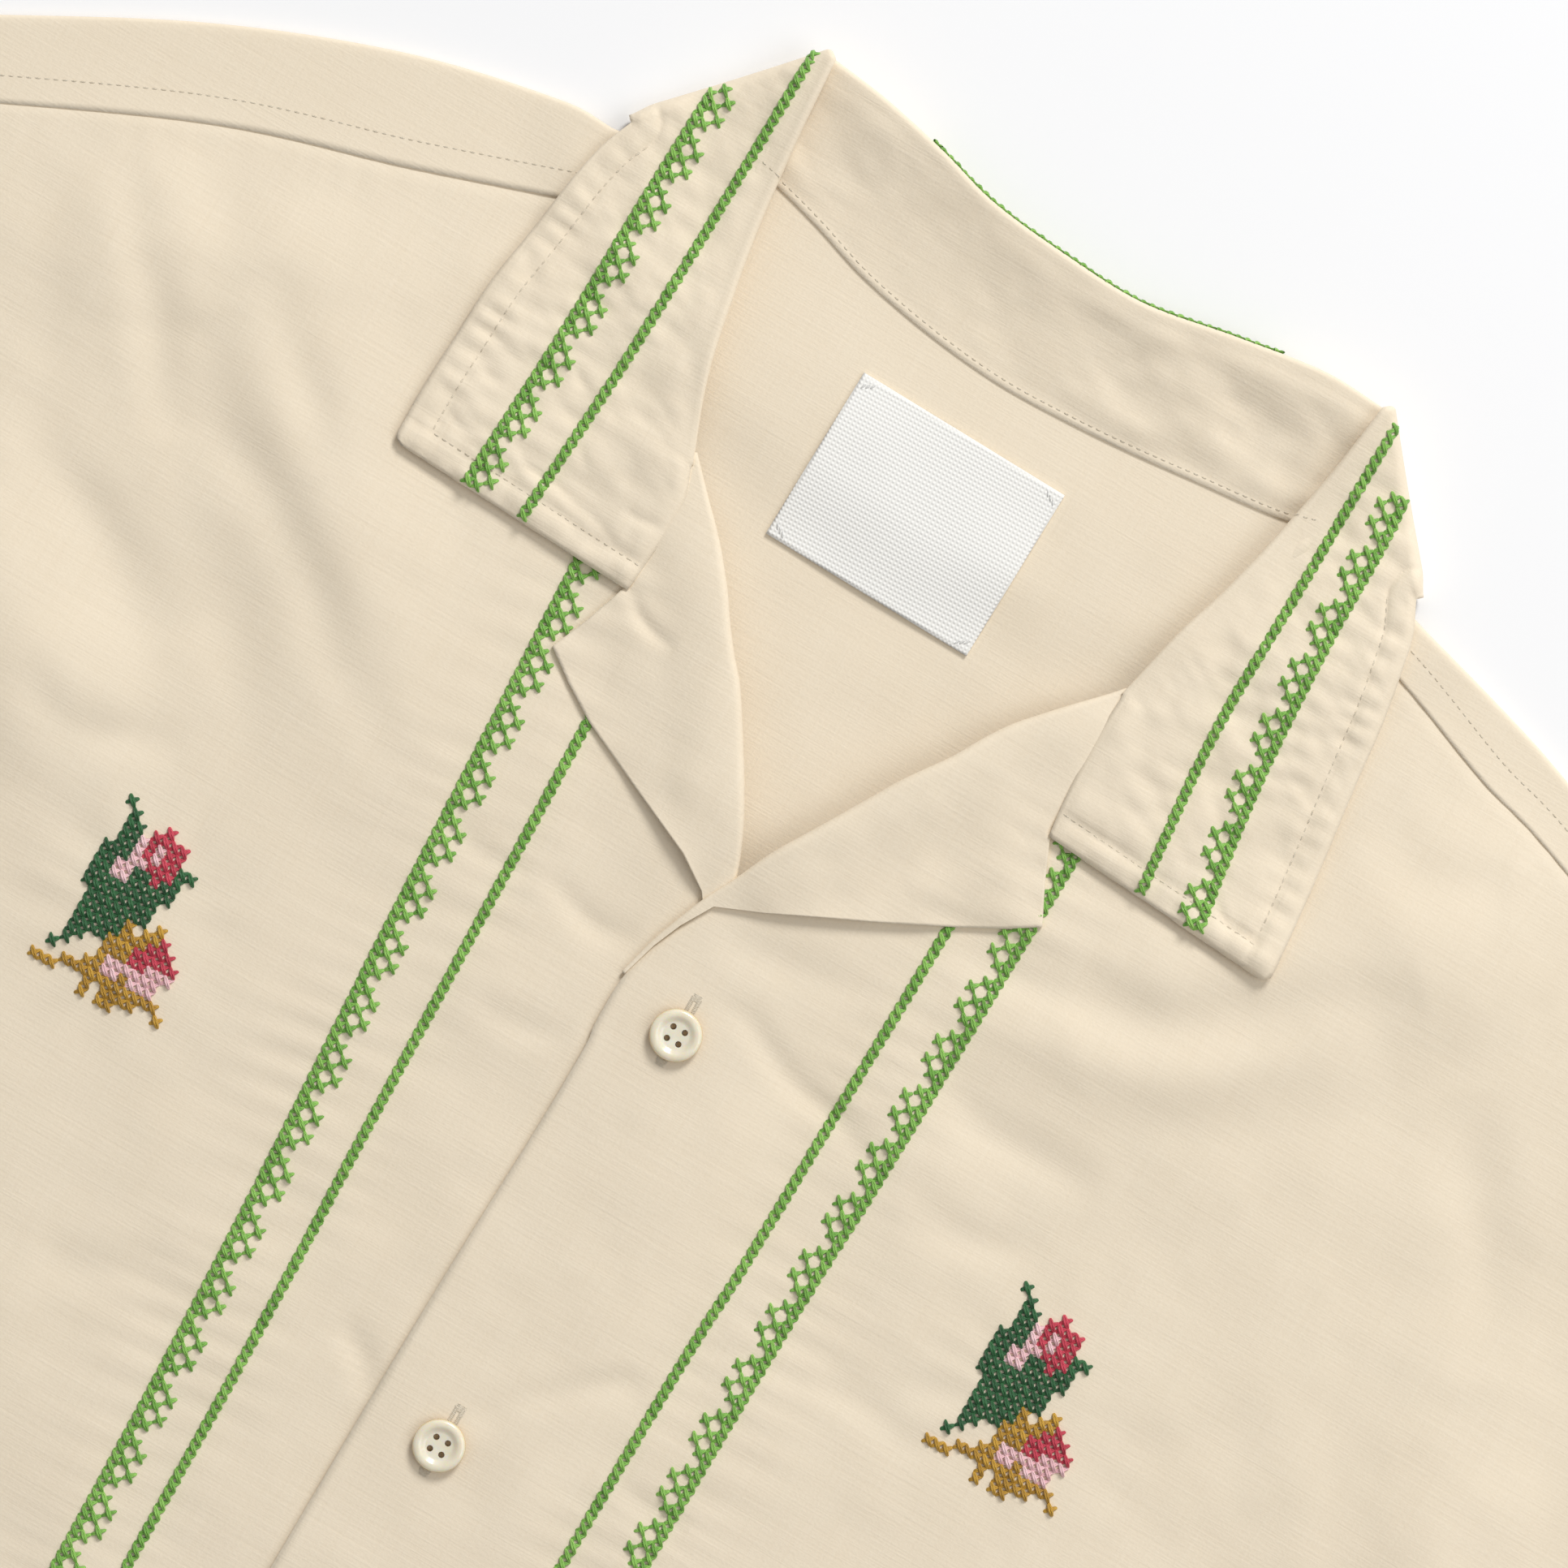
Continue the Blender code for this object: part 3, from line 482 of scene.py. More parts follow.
def cloth_detail(x, y):
    """Unevenness of the fronts: creases, ripples along the bands, slight waves everywhere."""
    waves = 0.70 * noise(x + 0.4 * y, y, 34.0, 21) + 0.40 * noise(x, y, 15.0, 22)
    waves = waves + 0.10 * noise(x, y, 6.0, 23)
    total = creases(x, y, CREASES, 1.5) + waves
    for side in SIDE_SIGN:
        total = total + puckers(x, y, PLAIN_LINE[side], 7.6, 0.26, 9.0, 71)
        total = total + puckers(x, y, LACE_EDGE[side], 7.0, 0.32, 14.0, 73)
        total = total + sprig_puckers(x, y, side)
        total = total + puckers(x, y, FORWARD_SEAM[side], 8.0, 0.30, 7.0, 75)
    return total


def under_height(x, y):
    """Middle of a front that lies straight on the back."""
    x = np.asarray(x, dtype=float)
    y = np.asarray(y, dtype=float)
    air = drape(x, y)
    detail = cloth_detail(x, y) * smooth(air / CLOTH_PUFF)
    low = back_height(x, y) + 0.9
    return np.maximum(back_height(x, y) + PITCH + air + detail, low)


def over_height(x, y):
    """Middle of the wearer's left front, one layer up where it laps over the other."""
    x = np.asarray(x, dtype=float)
    ramp = smooth((UNDER_EDGE_X + 2.5 + OVERLAP_RAMP - x) / OVERLAP_RAMP)
    return under_height(x, y) + OVERLAP_STEP * ramp


FRONT_HEIGHT = {"right": under_height, "left": over_height}


def front_height(side, x, y):
    """Middle of one front, tucked down where the shoulder's folded edge laps over it."""
    above = nearest_on(x, y, spaced(FORWARD_SEAM[side], 20))[1] * SIDE_SIGN[side]
    return FRONT_HEIGHT[side](x, y) - 0.6 * smooth((above + 0.6) / 1.2)


def shoulder_height(side, x, y):
    """Middle of the back's part in front of the shoulder, with its folded and topstitched edge."""
    place, distance = nearest_on(x, y, spaced(FORWARD_SEAM[side], 20))
    distance = np.abs(distance)
    edge = 0.20 * np.exp(-(distance / 3.0) ** 2) - 0.28 * np.exp(-((distance - EDGE_STITCH) / 0.9) ** 2)
    ripple = 0.32 * np.cos(2 * np.pi * (place / 5.2 + 0.5 * noise(place, place * 0, 11.0, 77)))
    strip = np.exp(-((distance - 4.0) / 4.0) ** 2)
    fade = smooth(drape(x, y) / 1.5)
    return under_height(x, y) + (edge + ripple * strip * (0.6 + 0.4 * noise(x, y, 16.0, 78))) * fade


def raised(grid, height):
    """The grid's points with their heights."""
    z = height(grid[..., 0], grid[..., 1])
    return np.dstack([grid, z])


def add_object(name, data):
    """A new object of the scene, at the origin."""
    item = bpy.data.objects.new(name, data)
    bpy.context.scene.collection.objects.link(item)
    return item


def plain_mesh(item):
    """The mesh of an object with its modifiers done; the object itself goes."""
    mesh = bpy.data.meshes.new_from_object(item.evaluated_get(bpy.context.evaluated_depsgraph_get()))
    bpy.data.objects.remove(item)
    return mesh


def cloth_piece(name, grids, material, wall=CLOTH, closed=False):
    """A thin wall of cloth from grids of points that share their edges."""
    points = []
    faces = []
    for grid in grids:
        rows, columns = grid.shape[:2]
        first = sum(len(part) for part in points)
        points.append(to_scene(grid).reshape(-1, 3))
        low = first + np.arange(rows - 1)[:, None] * columns + np.arange(columns - 1)[None, :]
        faces.append(np.stack([low, low + 1, low + columns + 1, low + columns], axis=-1).reshape(-1, 4))
        if closed:
            low = first + np.arange(rows - 1) * columns + columns - 1
            faces.append(np.stack([low, low - columns + 1, low + 1, low + columns], axis=-1))
    mesh = bpy.data.meshes.new(name)
    mesh.from_pydata(np.vstack(points).tolist(), [], np.vstack(faces).tolist())
    tools = bmesh.new()
    tools.from_mesh(mesh)
    bmesh.ops.remove_doubles(tools, verts=tools.verts, dist=0.00001)
    bmesh.ops.dissolve_degenerate(tools, edges=tools.edges, dist=0.00001)
    bmesh.ops.recalc_face_normals(tools, faces=tools.faces)
    tools.to_mesh(mesh)
    tools.free()
    mesh.shade_smooth()
    mesh.materials.append(material)
    piece = add_object(name, mesh)
    shell = piece.modifiers.new("Wall", "SOLIDIFY")
    shell.thickness = wall * MM
    shell.offset = 0.0
    return piece


def seam_side(side):
    """The armhole and side seam of one side, from the hem up to the forward seam."""
    sign = SIDE_SIGN[side]
    seam = [(sign * HALF_WIDTH, HEM_Y), (sign * 281.0, -300.0)]
    return seam + [(sign * x, y) for x, y in ARMHOLE]


def front_centre(side):
    """Centre edge of one front: the buttoning edge, the roll of the lapel, then the neckline."""
    ox, oy = LAPEL_OUTWARD[side]
    end_y = NECKLINE[side][0][1] - 1.5
    roll = [(row[0] - ox * 0.5, row[1] - oy * 0.5) for row in LAPEL_ROWS[side] if row[1] < end_y]
    return list(BUTTON_EDGE[side]) + roll + list(NECKLINE[side])


def build_front(side, material):
    """One front, from its side seam to its buttoning edge, the roll line and the neckline."""
    columns = 150
    tucked = 30
    outer, centre = [sample(table, split_fractions(table, SPLIT_Y, 34, 176))
                     for table in (seam_side(side), front_centre(side))]
    bottom = spaced([outer[0], centre[0]], columns)
    top = spaced(FORWARD_SEAM[side], columns)[::-1] + np.array([0.0, SEAM_LAP])
    for line in (outer, centre):
        line[-tucked:, 1] += SEAM_LAP * np.linspace(0.0, 1.0, tucked)
    top[0] = outer[-1]
    top[-1] = centre[-1]
    grid = raised(patch(bottom, top, outer, centre), lambda x, y: front_height(side, x, y))
    return cloth_piece("cloth_front_" + side, [grid], material)


def build_back(material):
    """The back, in one piece with the parts folded over the shoulders to the forward seams."""
    shoulder_columns = 60
    neck_columns = 70
    shoulders = {side: spaced(SHOULDER_FOLD[side], shoulder_columns) for side in SHOULDER_FOLD}
    neck = spaced(BACK_SEAM, neck_columns) + np.array([0.0, 2.2])
    neck[:, 1] -= 2.7 * (1.0 - smooth((75.0 - np.abs(neck[:, 0])) / 10.0))
    top = np.vstack([shoulders["right"][::-1], neck[1:-1], shoulders["left"]])
    tables = [seam_side(side) + [SHOULDER_FOLD[side][-1]] for side in SIDE_SIGN]
    start, end = [sample(table, split_fractions(table, -40.0, 24, 90)) for table in tables]
    bottom = spaced([start[0], end[0]], len(top) - 1)
    grids = [raised(patch(bottom, top, start, end), back_height)]
    for side, fold in shoulders.items():
        seam = spaced(FORWARD_SEAM[side], shoulder_columns) + np.array([0.0, 0.25])
        neck_end = spaced([seam[0], fold[0]], 14)
        arm_end = spaced([seam[-1], fold[-1]], 14)
        flap = patch(seam, fold, neck_end, arm_end)
        rows = list(raised(flap, lambda x, y: shoulder_height(side, x, y)))
        low = back_height(fold[:, 0], fold[:, 1])
        for angle in np.linspace(0.0, math.pi, 7)[1:]:
            out = PITCH / 2 * math.sin(angle)
            z = low + PITCH / 2 * (1 + math.cos(angle))
            rows.append(np.column_stack([fold[:, 0], fold[:, 1] + out, z]))
        grids.append(np.array(rows))
    return cloth_piece("cloth_back", grids, material)


def build_lapel(side, material):
    """The facing where it shows: round the roll line and over the turned-out lapel."""
    below = FRONT_HEIGHT[side]
    ox, oy = LAPEL_OUTWARD[side]
    table = np.array(LAPEL_ROWS[side])
    roll = dense(table[:, 0:2])[0]
    edge = np.stack([np.interp(np.arange(len(roll)) / 16.0, np.arange(len(table)), column)
                     for column in table[:, 2:4].T], axis=1)
    low = below(roll[:, 0], roll[:, 1])
    width = np.linalg.norm(edge - roll, axis=1)
    start, span = LAPEL_START[side]
    loft = 1.7 * smooth(width / 22.0)
    rise = 0.10 + 0.80 * smooth((roll[:, 1] - start) / span)
    radius = (rise + loft) / 2
    grid = []
    for angle in np.linspace(0.0, math.pi, 9):
        out = (radius * math.sin(angle))[:, None] * np.array([[ox, oy]])
        z = low + radius * (1 - math.cos(angle))
        grid.append(np.column_stack([roll + out, z]))
    middle, reach, height = LAPEL_FREE[side]
    free = height * np.exp(-((roll[:, 1] - middle) / reach) ** 2) * smooth((roll[:, 1] - 31.0) / 8.0)
    tuck = 0.8 * smooth((edge[:, 1] - 75.0) / 3.0)
    for share in np.linspace(0.0, 1.0, 41)[1:]:
        spot = roll + (edge - roll) * share
        uneven = 0.6 * (0.5 + noise(spot[:, 0], spot[:, 1], 19.0, 31)) * math.sin(math.pi * share)
        uneven = uneven + 0.16 * noise(spot[:, 0], spot[:, 1], 7.0, 32) * smooth(share * width / 6.0)
        z = below(spot[:, 0], spot[:, 1]) + rise + loft * (1.0 - smooth(share * width / 16.0))
        z = z + uneven * smooth(width / 20.0) + free * share ** 2.5
        z = z - tuck * float(smooth((share - 0.9) / 0.1))
        grid.append(np.column_stack([spot, z]))
    return cloth_piece("cloth_facing_" + side, [np.array(grid)], material, wall=DOUBLED)


def collar_loft(distance, reach, height):
    """How far the soft roll of the collar stands up, at a distance from its fold."""
    near = 1.0 - np.minimum(distance / max(reach, 0.1), 1.0)
    return height * near ** 2


def leaf_edges(side):
    """Outer edge of one leaf, from its tip up, and its lower edge, from its tip to the gorge."""
    rows = [row[2:4] for row in GORGE_ROWS[side] + LEAF_ROWS[side]] + [COLLAR_WRAP[side][2:4]]
    first = GORGE_ROWS[side][0]
    return spaced(rows, 30), [first[2:4], first[0:2]]


def leaf_relief(side, x, y):
    """Relief of one leaf: puffed edges, grooves under its stitches, puckers and crinkles."""
    outer, lower = LEAF_EDGES[side]
    along_outer, from_outer = nearest_on(x, y, outer)
    along_lower, from_lower = nearest_on(x, y, lower)
    from_outer = np.abs(from_outer)
    from_lower = np.abs(from_lower)
    total = 0.66 + 0.40 * noise(x + 0.5 * y, y * 1.6, 12.0, 41) + 0.32 * noise(x * 1.4, y, 6.5, 42)
    total = total + 0.17 * noise(x + 0.6 * y, y * 1.3, 3.4, 47)
    for place, distance, inset, seed in ((along_outer, from_outer, EDGE_STITCH, 43),
                                         (along_lower, from_lower, LOWER_STITCH, 45)):
        puff = 0.20 * np.sin(np.pi * np.clip(distance / inset, 0.0, 1.0))
        groove = -0.42 * np.exp(-((distance - inset) / 0.7) ** 2)
        wave = np.cos(2 * np.pi * (place / 5.6 + 0.6 * noise(place, place * 0, 13.0, seed)))
        near = np.exp(-((distance - 0.8 * inset) / 4.2) ** 2)
        total = total + puff + groove + 0.30 * wave * near * (0.6 + 0.4 * noise(x, y, 15.0, seed + 1))
    total = total + creases(x, y, LEAF_CREASES[side], 0.5)
    total = total + puckers(x, y, COLLAR_PLAIN_LINE[side], 6.5, 0.24, 6.0, 81)
    total = total + puckers(x, y, COLLAR_LACE_EDGE[side], 6.5, 0.26, 8.0, 83)
    edge = np.minimum(from_outer, from_lower)
    return np.maximum(total, 0.0) * smooth(edge / 2.0) + 0.05


def stand_relief(x, y):
    """Crumples of the collar's stand behind the neck."""
    side = 0.8 + 0.9 * smooth((x + 10.0) / 50.0) + 0.5 * smooth((-40.0 - x) / 15.0)
    large = np.maximum(0.0, 0.5 + noise(x * 0.7 + y * 0.5, y * 0.7, 12.0, 91))
    small = 0.22 * (1.0 + noise(x, y, 5.5, 92)) + 0.13 * (1.0 + noise(x + 0.5 * y, y, 3.2, 93))
    return side * (0.8 * large + small)


LEAF_EDGES = {side: leaf_edges(side) for side in SIDE_SIGN}


def collar_station(side, roll, edge, seam, outward, angle, behind):
    """One section of the collar: its stand and roll, then its fall from the roll to the edge."""
    turn = math.radians(angle)
    facing = np.array([outward[0] * math.cos(turn), outward[1] * math.cos(turn), math.sin(turn)])
    roll = np.array(roll)
    edge = np.array(edge)
    whole = np.linalg.norm(roll - edge)
    away = (roll - edge) / whole
    flat = 0.5 + 0.5 * math.sin(turn)
    reach = min(ROLL_REACH, np.linalg.norm(roll - np.array(seam))) if seam is not None else 0.0
    loft = ROLL_HEIGHT * float(smooth(reach / ROLL_REACH))

    def layer(start, end, count, radius):
        """Points of one layer from start to end, at a distance from the axis of the turn."""
        t = np.linspace(0.0, 1.0, count)
        x = start[0] + (end[0] - start[0]) * t
        y = start[1] + (end[1] - start[1]) * t
        distance = np.hypot(x - roll[0], y - roll[1])
        outer_layer = radius > PITCH
        base = BACK_Z + PITCH / 2 + lift(x, y) + drape(x, y) * flat ** 2
        top = under_height(x, y) + 0.2
        base = base + (top - PITCH - base + PITCH / 2) * flat ** 3
        z = base + facing[2] * radius
        if behind and outer_layer:
            z = np.full(x.shape, BACK_Z)
        if reach > 0.1:
            z = z + collar_loft(distance, reach, loft)
        if outer_layer and side:
            relief = leaf_relief(side, x, y) * smooth(distance / (7.0 if seam is not None else 3.0))
            if seam is None:
                relief = relief - 0.35 * np.exp(-(distance / 1.2) ** 2)
            z = z + flat ** 4 * relief
        if not outer_layer and reach > 0.1:
            rim = np.hypot(x - seam[0], y - seam[1])
            z = z + stand_relief(x, y) * smooth(rim / 7.0) * smooth(distance / 5.0)
            z = z + 0.35 * np.exp(-(rim / 1.6) ** 2) - 0.20 * np.exp(-((rim - NECK_STITCH) / 0.7) ** 2)
        spread = radius
        if outer_layer:
            spread = radius * (1.0 - 0.35 * smooth((distance - whole + 6.0) / 6.0))
        return np.stack([x + facing[0] * spread, y + facing[1] * spread, z], axis=-1)

    fall = layer(roll, edge, 57, 1.5 * PITCH)
    if seam is None:
        return None, fall
    rise = layer(seam, roll, 25, 0.5 * PITCH)
    middle = (rise[-1] + fall[0]) / 2
    half = (fall[0] - rise[-1]) / 2
    bulge = np.array([away[0], away[1], 0.0]) * PITCH / 2 * float(smooth(reach / 9.0))
    bend = [middle - half * math.cos(swing) + bulge * math.sin(swing)
            for swing in np.linspace(0.0, math.pi, 9)[1:-1]]
    return np.vstack([rise, np.array(bend), fall[:1]]), fall


def side_stations(side):
    """Sections of one leaf, from its lower edge to the turn over the shoulder."""
    stations = []
    gorge = spaced([row[:4] for row in GORGE_ROWS[side]] + [LEAF_ROWS[side][0][:4]], 30)
    corner = gorge[0][2:4].copy()
    for row in gorge[:-1]:
        near = max(0.0, TIP_RADIUS - math.dist(row[2:4], corner))
        inset = TIP_RADIUS - math.sqrt(TIP_RADIUS ** 2 - near ** 2)
        row[2] -= SIDE_SIGN[side] * inset
        stations.append(collar_station(side, row[0:2], row[2:4], None, (0.0, 0.0), 90.0, False))
    leaf = spaced(LEAF_ROWS[side] + (COLLAR_WRAP[side],), 90)
    for row in leaf[:-1]:
        stations.append(collar_station(side, row[0:2], row[2:4], row[4:6], (0.0, 0.0), 90.0, False))
    wrap = COLLAR_WRAP[side]
    for angle in np.linspace(90.0, -90.0, 13):
        stations.append(collar_station(side, wrap[0:2], wrap[2:4], wrap[4:6], WRAP_OUTWARD[side], angle,
                                       angle == -90.0))
    return stations


def build_collar(material):
    """The collar: a band folded at its roll line, which passes under the back of the neck."""
    right = side_stations("right")
    left = side_stations("left")
    columns = 90
    folds = spaced(BACK_FOLD, columns)
    seams = spaced(BACK_SEAM, columns)
    edge_table = [(x, fall_edge_y(x)) for x in (-98.5, -60.0, 0.0, 60.0, 95.7)]
    edge_table[0] = COLLAR_WRAP["right"][2:4]
    edge_table[-1] = COLLAR_WRAP["left"][2:4]
    edges = spaced(edge_table, columns)
    middle = []
    for roll, edge, seam in list(zip(folds, edges, seams))[1:-1]:
        middle.append(collar_station(None, roll, edge, seam, (0.0, 0.0), -90.0, True))
    stations = right + middle + left[::-1]
    fall = np.array([fall for stand, fall in stations])
    stand = np.array([stand for stand, fall in stations if stand is not None])
    return cloth_piece("cloth_collar", [fall, stand], material, wall=DOUBLED)


def build_sleeve(side, material):
    """A short sleeve pressed flat: one tube of cloth, open at the armhole and the cuff."""
    sign = SIDE_SIGN[side]
    points = [(sign * x, y) for x, y in ARMHOLE] + [SHOULDER_FOLD[side][-1]]
    armhole = spaced(points, 44) + np.array([sign * 0.5, 0.25])
    cuff = spaced([(sign * CUFF_BOTTOM[0], CUFF_BOTTOM[1]), (sign * CUFF_TOP[0], CUFF_TOP[1])], 44)
    underarm = spaced([armhole[0], cuff[0]], 50)
    top_edge = spaced([armhole[-1], cuff[-1]], 50)
    rows = patch(armhole, cuff, underarm, top_edge)
    rings = []
    for out, row in zip(np.linspace(0.0, 1.0, len(rows)), rows):
        across = np.linspace(0.0, 1.0, len(row))
        wave = 0.6 + 0.4 * np.sin(np.pi * (3.0 * across + 1.5 * out))
        rise = 2.5 * smooth(out * 3.0) * np.sin(np.pi * across) * wave
        uneven = 0.4 * noise(row[:, 0], row[:, 1], 22.0, 51) * np.sin(np.pi * across)
        upper = np.column_stack([row, BACK_Z + PITCH + rise + uneven * smooth(out * 3.0)])
        lower = np.column_stack([row, np.full(len(row), BACK_Z)])
        step = (row[-1] - row[0]) / np.linalg.norm(row[-1] - row[0])
        folds = []
        for end, direction in ((-1, 1.0), (0, -1.0)):
            ring = []
            for angle in np.linspace(0.0, math.pi, 5)[1:-1]:
                xy = row[end] + direction * step * PITCH / 2 * math.sin(angle)
                ring.append([xy[0], xy[1], BACK_Z + PITCH / 2 * (1 - math.cos(angle))])
            folds.append(np.array(ring))
        rings.append(np.vstack([lower, folds[0], upper[::-1], folds[1][::-1]]))
    return cloth_piece("cloth_sleeve_" + side, [np.array(rings)], material, closed=True)


def build_label(material):
    """Blank woven label, stitched inside the back of the neck."""
    width, height = LABEL_SIZE
    turn = math.radians(LABEL_TURN)
    u, v = np.meshgrid(np.linspace(-width / 2, width / 2, 61), np.linspace(-height / 2, height / 2, 49))
    x = LABEL_CENTRE[0] + u * math.cos(turn) - v * math.sin(turn)
    y = LABEL_CENTRE[1] + u * math.sin(turn) + v * math.cos(turn)
    corner = smooth(np.abs(u) / width * 2) * smooth(np.abs(v) / height * 2)
    z = back_height(x, y) + 1.1 - 0.35 * corner
    return cloth_piece("woven_label", [np.dstack([x, y, z])], material)


def new_material(name, colour, roughness, inputs=()):
    """A material with constants set, its node tree and its shader."""
    finish = bpy.data.materials.new(name)
    finish.use_nodes = True
    shader = finish.node_tree.nodes["Principled BSDF"]
    for label, value in {"Base Color": colour, "Roughness": roughness, **dict(inputs)}.items():
        shader.inputs[label].default_value = value
    return finish, finish.node_tree, shader


def add_node(tree, kind, inputs=(), **settings):
    """A node with its settings; each input takes a constant, or the output that feeds it."""
    node = tree.nodes.new(kind)
    for name, value in settings.items():
        setattr(node, name, value)
    for name, value in dict(inputs).items():
        if isinstance(value, bpy.types.NodeSocket):
            tree.links.new(value, node.inputs[name])
        else:
            node.inputs[name].default_value = value
    return node


def object_vector(tree, scale, turn=0.0):
    """Object coordinates, turned about the vertical and stretched."""
    place = add_node(tree, "ShaderNodeTexCoord").outputs["Object"]
    mapping = {"Vector": place, "Scale": scale, "Rotation": (0.0, 0.0, turn)}
    return add_node(tree, "ShaderNodeMapping", mapping).outputs["Vector"]


def streaks(tree, scale, detail):
    """Noise stretched along the yarns of one direction."""
    inputs = {"Vector": object_vector(tree, scale), "Scale": 1.0, "Detail": detail, "Roughness": 0.55}
    return add_node(tree, "ShaderNodeTexNoise", inputs).outputs["Fac"]


def mixed(tree, kind, *values):
    """Values put together by one sum."""
    return add_node(tree, "ShaderNodeMath", dict(enumerate(values)), operation=kind).outputs["Value"]


def blend(tree, share, dark, light):
    """A colour between two, at a share from 0 to 1."""
    inputs = {"Factor": share, COLOUR_A: dark, COLOUR_B: light}
    return add_node(tree, "ShaderNodeMix", inputs, data_type="RGBA").outputs[COLOUR_OUT]


def finish_surface(tree, shader, height, strength, distance, colour):
    """Gives a shader its relief and its colour."""
    bump = add_node(tree, "ShaderNodeBump", {"Strength": strength, "Distance": distance, "Height": height})
    tree.links.new(bump.outputs["Normal"], shader.inputs["Normal"])
    tree.links.new(colour, shader.inputs["Base Color"])


def cotton_material(name, light, dark):
    """Plain-woven cotton: uneven yarns both ways, and a faint mottling."""
    finish, tree, shader = new_material(name, light, 0.88, {
        "Sheen Weight": 0.12, "Sheen Roughness": 0.6, "Specular IOR Level": 0.2})
    warp = streaks(tree, (2300.0, 70.0, 70.0), 2.0)
    weft = streaks(tree, (70.0, 2300.0, 70.0), 2.0)
    grain = streaks(tree, (1500.0, 1500.0, 1500.0), 1.0)
    slubs = streaks(tree, (900.0, 30.0, 30.0), 1.0)
    cross_slubs = streaks(tree, (30.0, 900.0, 30.0), 1.0)
    mottle = streaks(tree, (45.0, 45.0, 45.0), 3.0)
    fine = mixed(tree, "ADD", mixed(tree, "ADD", warp, weft), grain)
    thick = mixed(tree, "ADD", slubs, cross_slubs)
    relief = mixed(tree, "ADD", fine, mixed(tree, "MULTIPLY", thick, 0.7))
    tone = mixed(tree, "ADD", mixed(tree, "MULTIPLY", fine, 0.26), mixed(tree, "MULTIPLY", thick, 0.16))
    tone = mixed(tree, "ADD", tone, mixed(tree, "MULTIPLY", mottle, 0.28))
    share = add_node(tree, "ShaderNodeMapRange", {"Value": tone, "From Min": 0.40, "From Max": 0.95})
    finish_surface(tree, shader, relief, 0.32, 0.00016, blend(tree, share.outputs["Result"], dark, light))
    return finish


def thread_material(name, light, dark, roughness=0.46):
    """Stranded cotton thread: slanting strands in its relief, colour striped with painted highlights on the
    strands and painted shade between them, and a tint that changes from stitch to stitch.
    """
    finish, tree, shader = new_material(name, light, roughness, {
        "Sheen Weight": 0.2, "Specular IOR Level": 0.45})
    along, around, tint = [add_node(tree, "ShaderNodeAttribute", attribute_name=label).outputs["Fac"]
                           for label in ("along", "around", "tint")]
    turns = mixed(tree, "ADD", mixed(tree, "MULTIPLY", around, 5.0), mixed(tree, "MULTIPLY", along, 2.6))
    wave = mixed(tree, "SINE", mixed(tree, "MULTIPLY", turns, 2 * math.pi))
    strand_highlight_and_bump = mixed(tree, "MULTIPLY_ADD", wave, 0.5, 0.5)
    # Colour: half painted highlight and shade along the twist of the strands, half a random tint from stitch
    # to stitch
    tone = mixed(tree, "ADD", mixed(tree, "MULTIPLY", strand_highlight_and_bump, 0.5), mixed(tree, "MULTIPLY", tint, 0.5))
    finish_surface(tree, shader, strand_highlight_and_bump, 0.55, 0.00012, blend(tree, tone, dark, light))
    return finish


def canvas_material(name, light, dark):
    """White label tape with a coarse weave."""
    finish, tree, shader = new_material(name, light, 0.8)
    waves = []
    for turn in (0.0, math.pi / 2):
        vector = object_vector(tree, (1.0, 1.0, 1.0), turn + math.radians(LABEL_TURN))
        inputs = {"Vector": vector, "Scale": 330.0, "Distortion": 0.5, "Detail": 1.0}
        waves.append(add_node(tree, "ShaderNodeTexWave", inputs).outputs["Fac"])
    weave = mixed(tree, "MULTIPLY", *waves)
    finish_surface(tree, shader, weave, 0.5, 0.0003, blend(tree, weave, dark, light))
    return finish


def pearl_material():
    """Polished cream shell with a faint cloud, and painted warm shade on its sides, where the surface turns
    away from straight up.
    """
    finish, tree, shader = new_material("button_shell", (0.80, 0.72, 0.52, 1.0), 0.22, {
        "Subsurface Weight": 0.4, "Subsurface Radius": (1.0, 0.65, 0.3), "Subsurface Scale": 0.0015,
        "Coat Weight": 0.5, "Coat Roughness": 0.08})
    cloud = add_node(tree, "ShaderNodeTexNoise", {
        "Vector": object_vector(tree, (1.0, 1.0, 1.0)), "Scale": 260.0, "Detail": 2.0, "Distortion": 0.8})
    shape = add_node(tree, "ShaderNodeNewGeometry")
    split = add_node(tree, "ShaderNodeSeparateXYZ", {"Vector": shape.outputs["Normal"]})
    # Painted warm shade: the steeper the surface, the more golden brown its colour
    up = add_node(tree, "ShaderNodeMapRange", {
        "Value": split.outputs["Z"], "From Min": 0.15, "From Max": 0.75})
    pale = blend(tree, cloud.outputs["Fac"], (0.80, 0.71, 0.50, 1.0), (0.90, 0.86, 0.74, 1.0))
    colour = blend(tree, up.outputs["Result"], (0.62, 0.44, 0.17, 1.0), pale)
    tree.links.new(colour, shader.inputs["Base Color"])
    return finish


